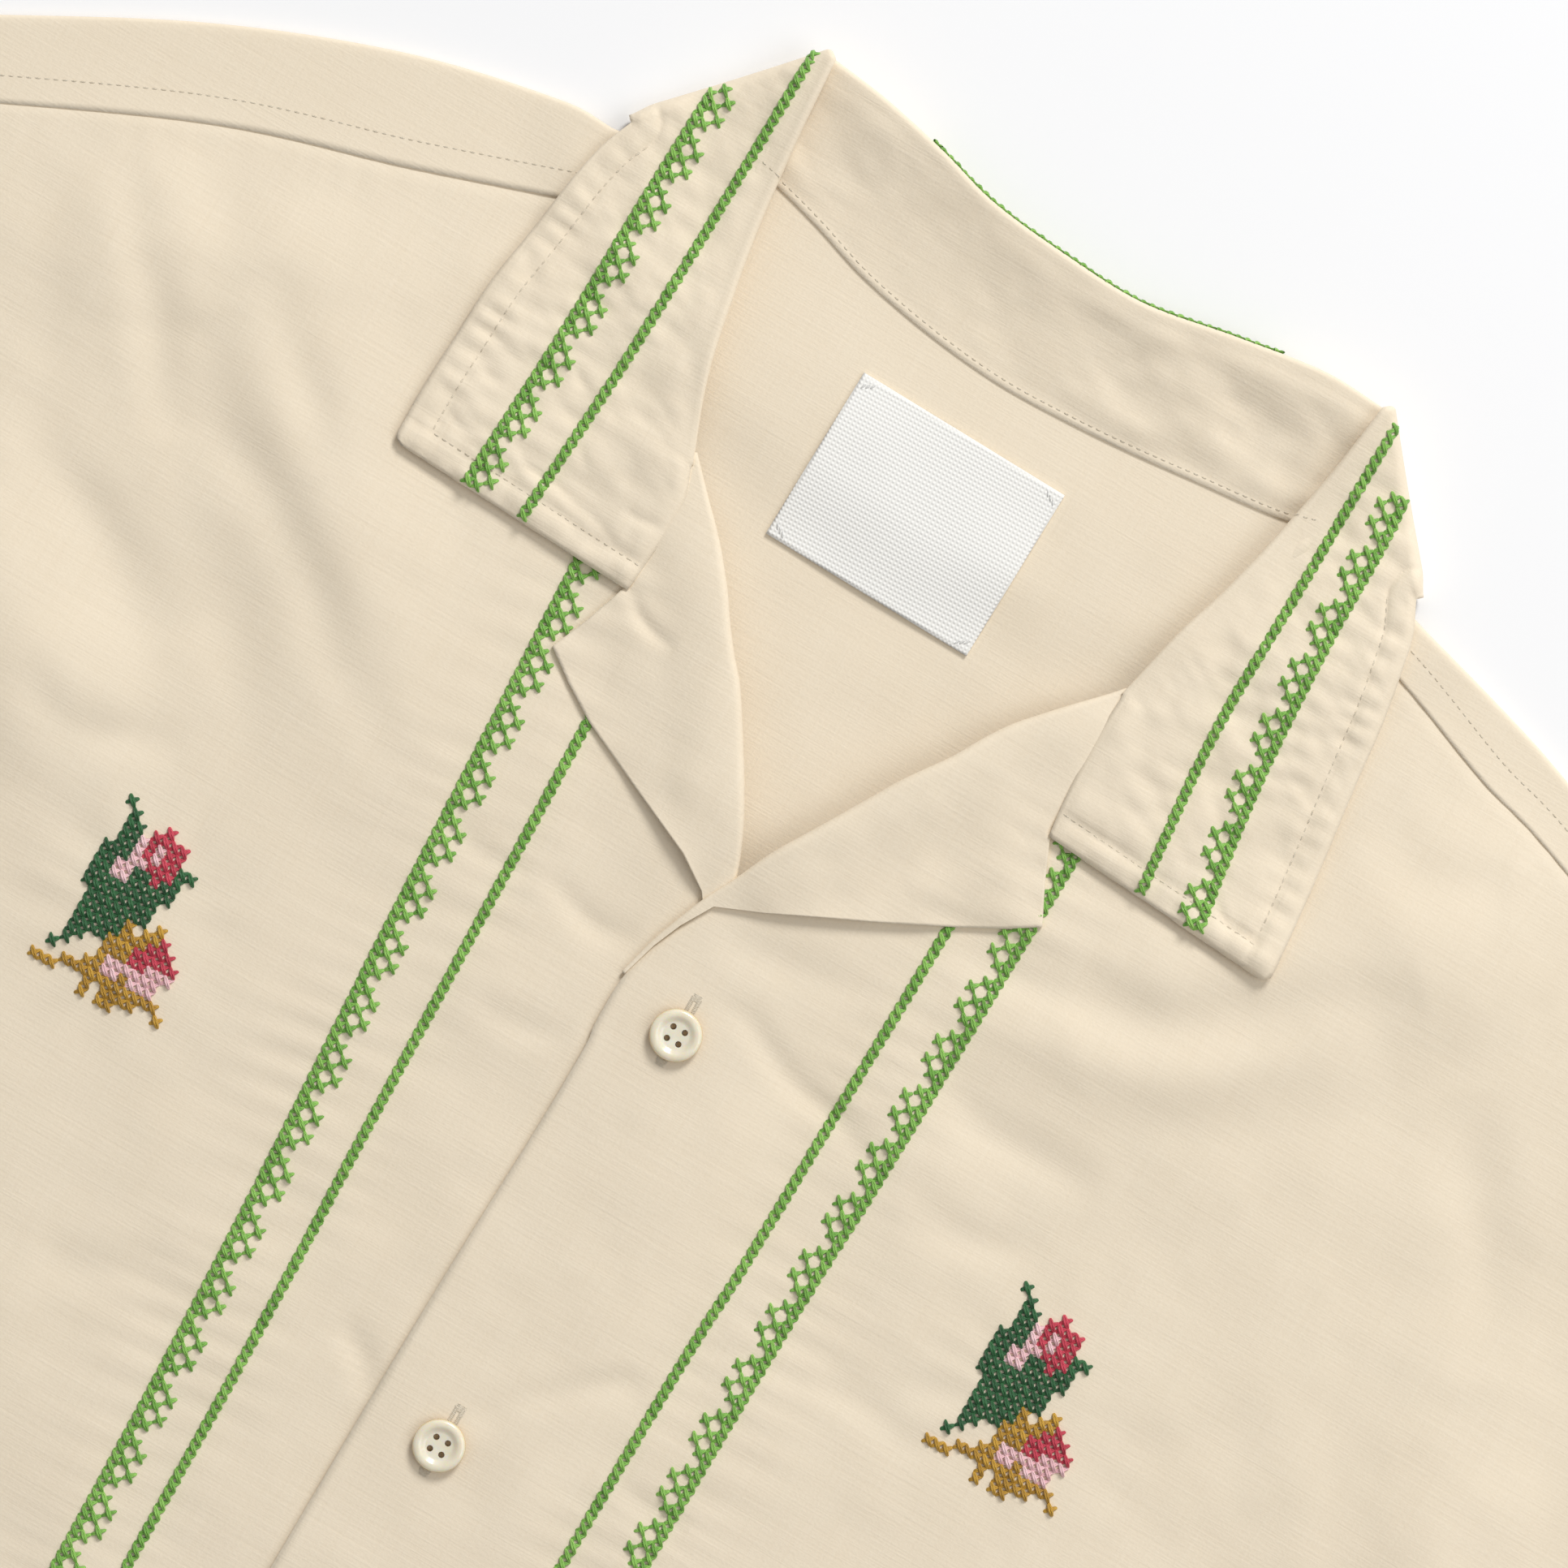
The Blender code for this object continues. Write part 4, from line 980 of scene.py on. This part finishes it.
def stitch_tree():
    """Geometry Nodes that lay one arched thread on every point, turned and sized by its attributes."""
    tree = bpy.data.node_groups.new("laid_thread", "GeometryNodeTree")
    for name, kind in (("Stitches", "Geometry"), ("Thread Radius", "Float"), ("Strand Gap", "Float"),
                       ("Sides", "Int"), ("Steps", "Int"), ("Seed", "Int"), ("Thread", "Material")):
        tree.interface.new_socket(name, in_out="INPUT", socket_type="NodeSocket" + kind)
    tree.interface.new_socket("Stitches", in_out="OUTPUT", socket_type="NodeSocketGeometry")
    given = tree.nodes.new("NodeGroupInput").outputs

    # One arch, fuller in its middle, with its length kept for the strands of the material
    arch = add_node(tree, "GeometryNodeCurvePrimitiveBezierSegment", {
        "Start": (-0.5, 0.0, -0.12), "Start Handle": (-0.43, 0.0, 0.25),
        "End Handle": (0.43, 0.0, 0.25), "End": (0.5, 0.0, -0.12)})
    even = add_node(tree, "GeometryNodeResampleCurve", {
        "Curve": arch.outputs["Curve"], "Count": given["Steps"]})
    share = tree.nodes.new("GeometryNodeSplineParameter").outputs["Factor"]
    along = add_node(tree, "GeometryNodeStoreNamedAttribute", {
        "Geometry": even.outputs["Curve"], "Name": "along", "Value": share}, data_type="FLOAT")
    sine = mixed(tree, "SINE", mixed(tree, "MULTIPLY", share, math.pi))
    swollen = add_node(tree, "GeometryNodeSetCurveRadius", {
        "Curve": along.outputs["Geometry"], "Radius": mixed(tree, "MULTIPLY_ADD", sine, 0.4, 0.6)})

    # Two strands that part in the middle of the stitch
    strands = tree.nodes.new("GeometryNodeJoinGeometry")
    for hand in (1.0, -1.0):
        lane = mixed(tree, "MULTIPLY", mixed(tree, "MULTIPLY", given["Strand Gap"], hand), sine)
        offset = add_node(tree, "ShaderNodeCombineXYZ", {"Y": lane})
        moved = add_node(tree, "GeometryNodeSetPosition", {
            "Geometry": swollen.outputs["Curve"], "Offset": offset.outputs["Vector"]})
        tree.links.new(moved.outputs["Geometry"], strands.inputs["Geometry"])

    # Round section, and the tubes along both strands
    ring = add_node(tree, "GeometryNodeCurvePrimitiveCircle", {
        "Resolution": given["Sides"], "Radius": given["Thread Radius"]}, mode="RADIUS")
    ring_share = tree.nodes.new("GeometryNodeSplineParameter").outputs["Factor"]
    around = add_node(tree, "GeometryNodeStoreNamedAttribute", {
        "Geometry": ring.outputs["Curve"], "Name": "around", "Value": ring_share}, data_type="FLOAT")
    tube = add_node(tree, "GeometryNodeCurveToMesh", {
        "Curve": strands.outputs["Geometry"], "Profile Curve": around.outputs["Geometry"]})
    soft = add_node(tree, "GeometryNodeSetShadeSmooth", {"Geometry": tube.outputs["Mesh"]})

    # One stitch on every point, no two quite alike
    turn, size = [add_node(tree, "GeometryNodeInputNamedAttribute", {"Name": name}, data_type="FLOAT_VECTOR")
                  for name in ("leg_turn", "leg_size")]
    vary = add_node(tree, "FunctionNodeRandomValue", {
        0: (0.95, 0.86, 0.85), 1: (1.06, 1.10, 1.20), "Seed": given["Seed"]}, data_type="FLOAT_VECTOR")
    sized = add_node(tree, "ShaderNodeVectorMath", {0: size.outputs[0], 1: vary.outputs[0]},
                     operation="MULTIPLY")
    laid = add_node(tree, "GeometryNodeInstanceOnPoints", {
        "Points": given["Stitches"], "Instance": soft.outputs["Geometry"],
        "Rotation": turn.outputs[0], "Scale": sized.outputs[0]})
    real = add_node(tree, "GeometryNodeRealizeInstances", {"Geometry": laid.outputs["Instances"]})
    finish = add_node(tree, "GeometryNodeSetMaterial", {
        "Geometry": real.outputs["Geometry"], "Material": given["Thread"]})
    add_node(tree, "NodeGroupOutput", {"Stitches": finish.outputs["Geometry"]})
    return tree


def lay_threads(name, legs, thread, radius, seed, sides=5, steps=7):
    """One piece of two-strand thread. A leg is its middle, direction, normal, length and rise."""
    mesh = bpy.data.meshes.new(name + "_points")
    mesh.from_pydata([tuple(leg[0]) for leg in legs], [], [])
    random = np.random.default_rng(seed)
    usual = legs[0][3]
    turns = []
    sizes = []
    for middle, direction, normal, length, rise in legs:
        across = normal.cross(direction).normalized()
        ahead = across.cross(normal).normalized()
        turns += list(Matrix((ahead, across, normal)).transposed().to_euler())
        sizes += [length * MM, usual * MM, usual * rise * MM]
    for label, kind, field, values in (("leg_turn", "FLOAT_VECTOR", "vector", turns),
                                       ("leg_size", "FLOAT_VECTOR", "vector", sizes),
                                       ("tint", "FLOAT", "value", random.uniform(0.0, 1.0, len(legs)))):
        mesh.attributes.new(label, kind, "POINT").data.foreach_set(field, list(values))
    holder = add_object(name + "_points", mesh)
    nodes = holder.modifiers.new("Threads", "NODES")
    nodes.node_group = THREADS
    given = {"Thread Radius": radius / usual, "Strand Gap": 0.8 * radius / usual, "Sides": sides,
             "Steps": steps, "Seed": seed, "Thread": thread}
    for item in THREADS.interface.items_tree:
        if item.in_out == "INPUT" and item.name in given:
            nodes[item.identifier] = given[item.name]
    finished = plain_mesh(holder)
    finished.name = name
    return add_object(name, finished)


def cloth_tree(piece):
    """Search tree of a piece's surface."""
    return BVHTree.FromObject(piece, bpy.context.evaluated_depsgraph_get())


def seat(tree, x, y, top=30.0):
    """Point and normal of the cloth straight below (x, y), or None."""
    start = Vector((x, y + TOP_BUTTON_Y, top)) * MM
    hit, normal = tree.ray_cast(start, Vector((0.0, 0.0, -1.0)))[:2]
    if hit is None or normal.z < 0.3:
        return None
    return hit, normal


def rim_seat(tree, x, y, outward):
    """Point and normal of the rounded rim at (x, y), found from outside and above."""
    start = Vector((x + outward[0] * 20.0, y + outward[1] * 20.0 + TOP_BUTTON_Y, 5.0 + 12.0)) * MM
    aim = Vector((-outward[0], -outward[1], -0.6)).normalized()
    hit, normal = tree.ray_cast(start, aim)[:2]
    return None if hit is None else (hit, normal)


def cross_seat(tree, x, y, ahead, pitch):
    """Seat of one cross: its middle, no lower than its four ends, and their mean normal."""
    spot = seat(tree, x, y)
    reach = 0.45 * pitch
    ends = [seat(tree, x + (ahead.x * a - ahead.y * b) * reach, y + (ahead.y * a + ahead.x * b) * reach)
            for a in (-1.0, 1.0) for b in (-1.0, 1.0)]
    if spot is None or None in ends:
        return spot
    middle = spot[0].copy()
    middle.z = max(middle.z, sum(end[0].z for end in ends) / 4.0)
    normal = spot[1].copy()
    for end in ends:
        normal += end[1]
    return middle, normal.normalized()


def cross_legs(spot, ahead, pitch):
    """The two legs of one cross stitch, its upper leg over the other."""
    middle, normal = spot
    side = normal.cross(ahead).normalized()
    length = pitch * math.sqrt(2.0)
    return [(middle, (ahead - side).normalized(), normal, length, 0.6),
            (middle, (ahead + side).normalized(), normal, length, 1.3)]


def row_of_crosses(tree, table, pitch, columns=("X",), inward=1.0, first_offset=0.0, rim=False):
    """Crosses along a line; columns holds the repeat's rows, each cell one step further inward."""
    count = round(dense(table)[1][-1] / pitch)
    legs = []
    for index in range(count):
        here, ahead = sample(table, [(index + 0.5) / count, (index + 0.7) / count])
        step = Vector((*(ahead - here), 0.0)).normalized()
        side = Vector((-step.y, step.x, 0.0)) * inward
        for column, cell in enumerate(columns[index % len(columns)]):
            if cell != "X":
                continue
            offset = first_offset + column * pitch
            x = here[0] + side.x * offset
            y = here[1] + side.y * offset
            spot = rim_seat(tree, x, y, side) if rim else cross_seat(tree, x, y, step, pitch)
            if spot:
                legs += cross_legs(spot, step, pitch)
    return legs


def label_tacks(tree):
    """Small stitches that hold the label at its corners."""
    turn = math.radians(LABEL_TURN)
    legs = []
    for sx, sy, step in itertools.product((-1.0, 1.0), (-1.0, 1.0), range(3)):
        u = sx * (LABEL_SIZE[0] / 2 - 1.4 - 0.9 * step)
        v = sy * (LABEL_SIZE[1] / 2 - 2.6 + 0.5 * step)
        spot = seat(tree, LABEL_CENTRE[0] + u * math.cos(turn) - v * math.sin(turn),
                    LABEL_CENTRE[1] + u * math.sin(turn) + v * math.cos(turn))
        if spot:
            legs.append((spot[0], Vector((0.5 * sx, -sy, 0.0)).normalized(), spot[1], 1.7, 0.6))
    return legs


def sprig_crosses(tree, side, letter):
    """Crosses of one colour of a sprig."""
    left, top = SPRIG_CORNER[side]
    down = Vector((0.0, -1.0, 0.0))
    legs = []
    for row, column in np.argwhere(np.array([list(cells) for cells in SPRIG]) == letter).tolist():
        spot = cross_seat(tree, left + (column + 0.5) * SPRIG_CROSS, top - (row + 0.5) * SPRIG_CROSS,
                          down, SPRIG_CROSS)
        if spot:
            legs += cross_legs(spot, down, SPRIG_CROSS)
    return legs


def topstitch(tree, table):
    """Adds small stitches end to end along a line on the cloth, and between them short dark pieces of
    painted shade where the needle holes are.
    """
    count = int(dense(table)[1][-1] / STITCH)
    for legs, first, shares, sink, length, rise in (
            (seam_legs, 0, (0.15, 0.5, 0.85), 0.0, STITCH * 0.74, 0.40),
            # Second row: painted shade of the needle holes, short dark pieces sunk at the stitch ends
            (hole_shade_legs, 1, (0.0, 0.0, 0.3), 0.05, 0.35, 0.3)):
        for index in range(first, count):
            back_end, here, front_end = sample(table, np.minimum((np.array(shares) + index) / count, 1.0))
            spot = seat(tree, here[0], here[1])
            step = Vector((*(front_end - back_end), 0.0)).normalized()
            if spot:
                legs.append((spot[0] - spot[1] * sink * MM, step, spot[1], length, rise))


def inset_line(line, distance):
    """A line moved sideways by a distance."""
    line = np.array(line, dtype=float)
    step = np.gradient(line, axis=0)
    step /= np.linalg.norm(step, axis=1)[:, None]
    return line + np.column_stack([-step[:, 1], step[:, 0]]) * distance


def button_profile():
    """Half section of a shirt button: flat back, round side, broad rim, dished middle."""
    shoulder = BUTTON_RADIUS - BUTTON_RIM
    rim = [(0.0, 0.0), (shoulder - 0.3, 0.0)]
    for angle in np.radians(np.linspace(-70.0, 90.0, 9)):
        rim.append((shoulder + BUTTON_RIM * math.cos(angle), BUTTON_HEIGHT - 0.95 + 0.95 * math.sin(angle)))
    for share in np.linspace(0.0, 1.0, 9)[1:]:
        r = shoulder - share * (shoulder - BUTTON_DISH_RADIUS)
        rim.append((r, BUTTON_HEIGHT - BUTTON_DISH_DEPTH * float(smooth(share * 1.15 - 0.15))))
    rim.append((0.0, BUTTON_HEIGHT - BUTTON_DISH_DEPTH))
    return rim


def build_button(index, material):
    """One four-hole shirt button just clear of the cloth, with its holes cut."""
    name = "shirt_button_%d" % (index + 1)
    y = -index * BUTTON_PITCH
    around = [(BUTTON_X + r * math.cos(k), y + r * math.sin(k)) for k in range(7) for r in (0.0, 4.0, 5.6)]
    base = max(float(over_height(px, py)) for px, py in around) + CLOTH / 2 + 0.1
    outline = bmesh.new()
    corners = [outline.verts.new(Vector((r, 0.0, z)) * MM) for r, z in button_profile()]
    for first, second in zip(corners, corners[1:]):
        outline.edges.new((first, second))
    bmesh.ops.spin(outline, geom=outline.verts[:] + outline.edges[:], axis=(0, 0, 1), cent=(0, 0, 0),
                   steps=64, angle=2 * math.pi)
    bmesh.ops.remove_doubles(outline, verts=outline.verts, dist=0.000002)
    bmesh.ops.recalc_face_normals(outline, faces=outline.faces)
    holes = bmesh.new()
    for sx, sy in itertools.product((-0.5, 0.5), (-0.5, 0.5)):
        spot = Matrix.Translation(Vector((sx * HOLE_SPACING, sy * HOLE_SPACING, 1.0)) * MM)
        bmesh.ops.create_cone(holes, cap_ends=True, segments=20, radius1=HOLE_RADIUS * MM,
                              radius2=HOLE_RADIUS * MM, depth=4.0 * MM, matrix=spot)
    solids = []
    for label, shape in ((name, outline), ("button_holes", holes)):
        mesh = bpy.data.meshes.new(label)
        shape.to_mesh(mesh)
        shape.free()
        solids.append(add_object(label + "_solid", mesh))
    body, drill = solids
    cut = body.modifiers.new("Holes", "BOOLEAN")
    cut.operation = "DIFFERENCE"
    cut.object = drill
    finished = plain_mesh(body)
    bpy.data.objects.remove(drill)
    finished.transform(Matrix.Translation(Vector((BUTTON_X, y + TOP_BUTTON_Y, base)) * MM))
    finished.shade_smooth()
    finished.set_sharp_from_angle(angle=math.radians(40.0))
    finished.materials.clear()
    finished.materials.append(material)
    return add_object(name, finished)


def buttonhole_legs(tree, index):
    """Close stitches along both lips of one buttonhole, and bars at its ends."""
    y = -index * BUTTON_PITCH
    legs = []
    count = int((BUTTONHOLE_TOP - BUTTONHOLE_BOTTOM) / BUTTONHOLE_PITCH)
    for step, lip in itertools.product(range(count + 1), (-1.0, 1.0)):
        here = y + BUTTONHOLE_BOTTOM + step * BUTTONHOLE_PITCH
        spot = seat(tree, BUTTON_X + lip * BUTTONHOLE_LIP, here)
        if spot:
            legs.append((spot[0], Vector((1.0, 0.25 * lip, 0.0)).normalized(), spot[1], 1.3, 0.45))
    for end, step in itertools.product((BUTTONHOLE_BOTTOM, BUTTONHOLE_TOP), range(5)):
        spot = seat(tree, BUTTON_X, y + end + (step - 2) * 0.32)
        if spot:
            legs.append((spot[0], Vector((1.0, 0.0, 0.0)), spot[1], 2.4, 0.5))
    return legs


def finish_piece(piece, slot_name, *nodes):
    """Hides the parts that one piece replaces, and hangs the piece under the root body."""
    if nodes:
        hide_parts(*nodes)
    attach(piece, "root")
    return piece


def add_camera():
    """Straight down, turned 30 degrees, as in the photo."""
    data = bpy.data.cameras.new("camera")
    data.sensor_width = SENSOR_WIDTH
    data.lens = SENSOR_WIDTH * (CAMERA_HEIGHT - CLOTH_HEIGHT) / PHOTO_SPAN
    camera = add_object("camera", data)
    camera.location = (CAMERA_POINT[0] * MM, (CAMERA_POINT[1] + TOP_BUTTON_Y) * MM, CAMERA_HEIGHT)
    camera.rotation_euler = (0.0, 0.0, math.radians(CAMERA_TURN))
    bpy.context.scene.camera = camera


def add_floor():
    """Plain pale floor."""
    mesh = bpy.data.meshes.new("floor")
    corners = [(x * FLOOR_REACH, y * FLOOR_REACH, 0.0) for x, y in ((-1, -1), (1, -1), (1, 1), (-1, 1))]
    mesh.from_pydata(corners, [], [(0, 1, 2, 3)])
    mesh.materials.append(new_material("floor_paper", (0.955, 0.955, 0.96, 1.0), 0.9)[0])
    add_object("floor", mesh)


def add_light(name, place, size, power):
    """Soft square studio light."""
    data = bpy.data.lights.new(name, "AREA")
    data.shape = "SQUARE"
    data.size = size
    data.energy = power
    light = add_object(name, data)
    light.location = place
    direction = Vector(LIGHT_TARGET) - Vector(place)
    light.rotation_euler = direction.to_track_quat("-Z", "Y").to_euler()


def add_world(strength):
    """Even pale surroundings."""
    world = bpy.data.worlds.new("studio")
    world.use_nodes = True
    background = world.node_tree.nodes["Background"]
    background.inputs["Color"].default_value = (1.0, 1.0, 1.0, 1.0)
    background.inputs["Strength"].default_value = strength
    bpy.context.scene.world = world


cotton = cotton_material("cotton", (0.875, 0.768, 0.605, 1.0), (0.82, 0.70, 0.53, 1.0))
canvas = canvas_material("label_canvas", (0.97, 0.955, 0.92, 1.0), (0.90, 0.885, 0.84, 1.0))
# Each thread's first colour is its painted highlight and its second its painted shade; its random tint from
# stitch to stitch also lies between them
green = thread_material("green_cotton", (0.37, 0.69, 0.14, 1.0), (0.11, 0.33, 0.03, 1.0))
dark_green = thread_material("dark_green_cotton", (0.035, 0.18, 0.052, 1.0), (0.008, 0.06, 0.018, 1.0))
gold = thread_material("gold_cotton", (0.72, 0.42, 0.045, 1.0), (0.36, 0.18, 0.012, 1.0))
red = thread_material("red_cotton", (0.74, 0.07, 0.115, 1.0), (0.42, 0.022, 0.045, 1.0))
pink = thread_material("pink_cotton", (0.97, 0.70, 0.71, 1.0), (0.86, 0.48, 0.51, 1.0))
sewing = thread_material("sewing_cotton", (0.91, 0.82, 0.66, 1.0), (0.80, 0.69, 0.52, 1.0), 0.6)
white = thread_material("label_cotton", (0.97, 0.965, 0.94, 1.0), (0.93, 0.92, 0.89, 1.0), 0.6)
# Painted shade of the needle holes: a brown darker than the cloth
hole_shade = thread_material("needle_hole_shade", (0.72, 0.58, 0.39, 1.0), (0.62, 0.48, 0.30, 1.0), 0.9)
pearl = pearl_material()
THREADS = stitch_tree()

back = finish_piece(build_back(cotton), "shirt_cloth", "back")
fronts = {}
for side in ("right", "left"):
    fronts[side] = finish_piece(build_front(side, cotton), "shirt_cloth", "front_" + side)
    lapel = finish_piece(build_lapel(side, cotton), "shirt_cloth", "facing_" + side)
    sleeve = finish_piece(build_sleeve(side, cotton), "shirt_cloth", "sleeve_" + side)
collar = finish_piece(build_collar(cotton), "shirt_cloth", "collar")
label = finish_piece(build_label(canvas), "label_tape", "neck_label")
for index in range(BUTTON_COUNT):
    finish_piece(build_button(index, pearl), "button_pearl", "button_%d" % (index + 1))

collar_tree = cloth_tree(collar)
back_tree = cloth_tree(back)
front_trees = {side: cloth_tree(front) for side, front in fronts.items()}
INWARD = {"right": 1.0, "left": -1.0}
for side, tree in front_trees.items():
    legs = row_of_crosses(tree, PLAIN_LINE[side], CROSS)
    legs += row_of_crosses(tree, LACE_EDGE[side], CROSS, LACE_ROWS, INWARD[side], CROSS / 2)
    finish_piece(lay_threads("bands_front_" + side, legs, green, 0.30, 5), "green_thread")
    legs = row_of_crosses(collar_tree, COLLAR_PLAIN_LINE[side], COLLAR_CROSS)
    legs += row_of_crosses(collar_tree, COLLAR_LACE_EDGE[side], COLLAR_CROSS, LACE_ROWS, INWARD[side],
                           COLLAR_CROSS / 2)
    finish_piece(lay_threads("bands_collar_" + side, legs, green, 0.29, 6), "green_thread")
    for name, letter, thread in (("leaf", "D", dark_green), ("bud", "R", red), ("petal", "P", pink),
                                 ("stem", "Y", gold)):
        legs = sprig_crosses(tree, side, letter)
        finish_piece(lay_threads("sprig_%s_%s" % (name, side), legs, thread, 0.31, 7), "motif_thread")

seam_legs = []
hole_shade_legs = []
for side in SIDE_SIGN:
    outer, lower = LEAF_EDGES[side]
    outer_row = inset_line(outer, SIDE_SIGN[side] * EDGE_STITCH)
    lower_row = spaced([(x + (EDGE_STITCH * -SIDE_SIGN[side] if i == 0 else 0.0), y + LOWER_STITCH)
                        for i, (x, y) in enumerate(lower)], 30)
    outer_row = outer_row[outer_row[:, 1] > lower_row[0][1]]
    topstitch(collar_tree, outer_row)
    topstitch(collar_tree, lower_row)
    topstitch(back_tree, inset_line(spaced(FORWARD_SEAM[side], 40), SIDE_SIGN[side] * EDGE_STITCH))
topstitch(collar_tree, inset_line(spaced(BACK_SEAM, 60)[4:-4], NECK_STITCH))
finish_piece(lay_threads("topstitching", seam_legs, sewing, 0.09, 8, 5, 4), "sewing_thread")
# Painted shade of the needle holes, laid as tiny dark arched pieces between the stitches
finish_piece(lay_threads("needle_hole_shade", hole_shade_legs, hole_shade, 0.07, 9, 5, 3), "sewing_thread")
fold_row = [point for point in dense(BACK_FOLD)[0] if FOLD_LINE_ENDS[0] < point[0] < FOLD_LINE_ENDS[1]]
legs = row_of_crosses(collar_tree, fold_row, COLLAR_CROSS, rim=True)
finish_piece(lay_threads("fold_line", legs, green, 0.29, 11), "green_thread")
legs = label_tacks(cloth_tree(label))
finish_piece(lay_threads("label_stitches", legs, white, 0.10, 12), "sewing_thread")
legs = []
for index in range(BUTTON_COUNT):
    legs += buttonhole_legs(front_trees["left"], index)
finish_piece(lay_threads("buttonhole_stitching", legs, sewing, 0.11, 10, 5, 4), "sewing_thread")

bpy.context.scene.view_settings.view_transform = "Standard"
add_camera()
add_floor()
add_light("key", (0.05, 2.75, 2.0), 1.0, 71.0)
add_light("fill", (1.5, 0.6, 1.8), 1.5, 12.0)
add_world(0.39)
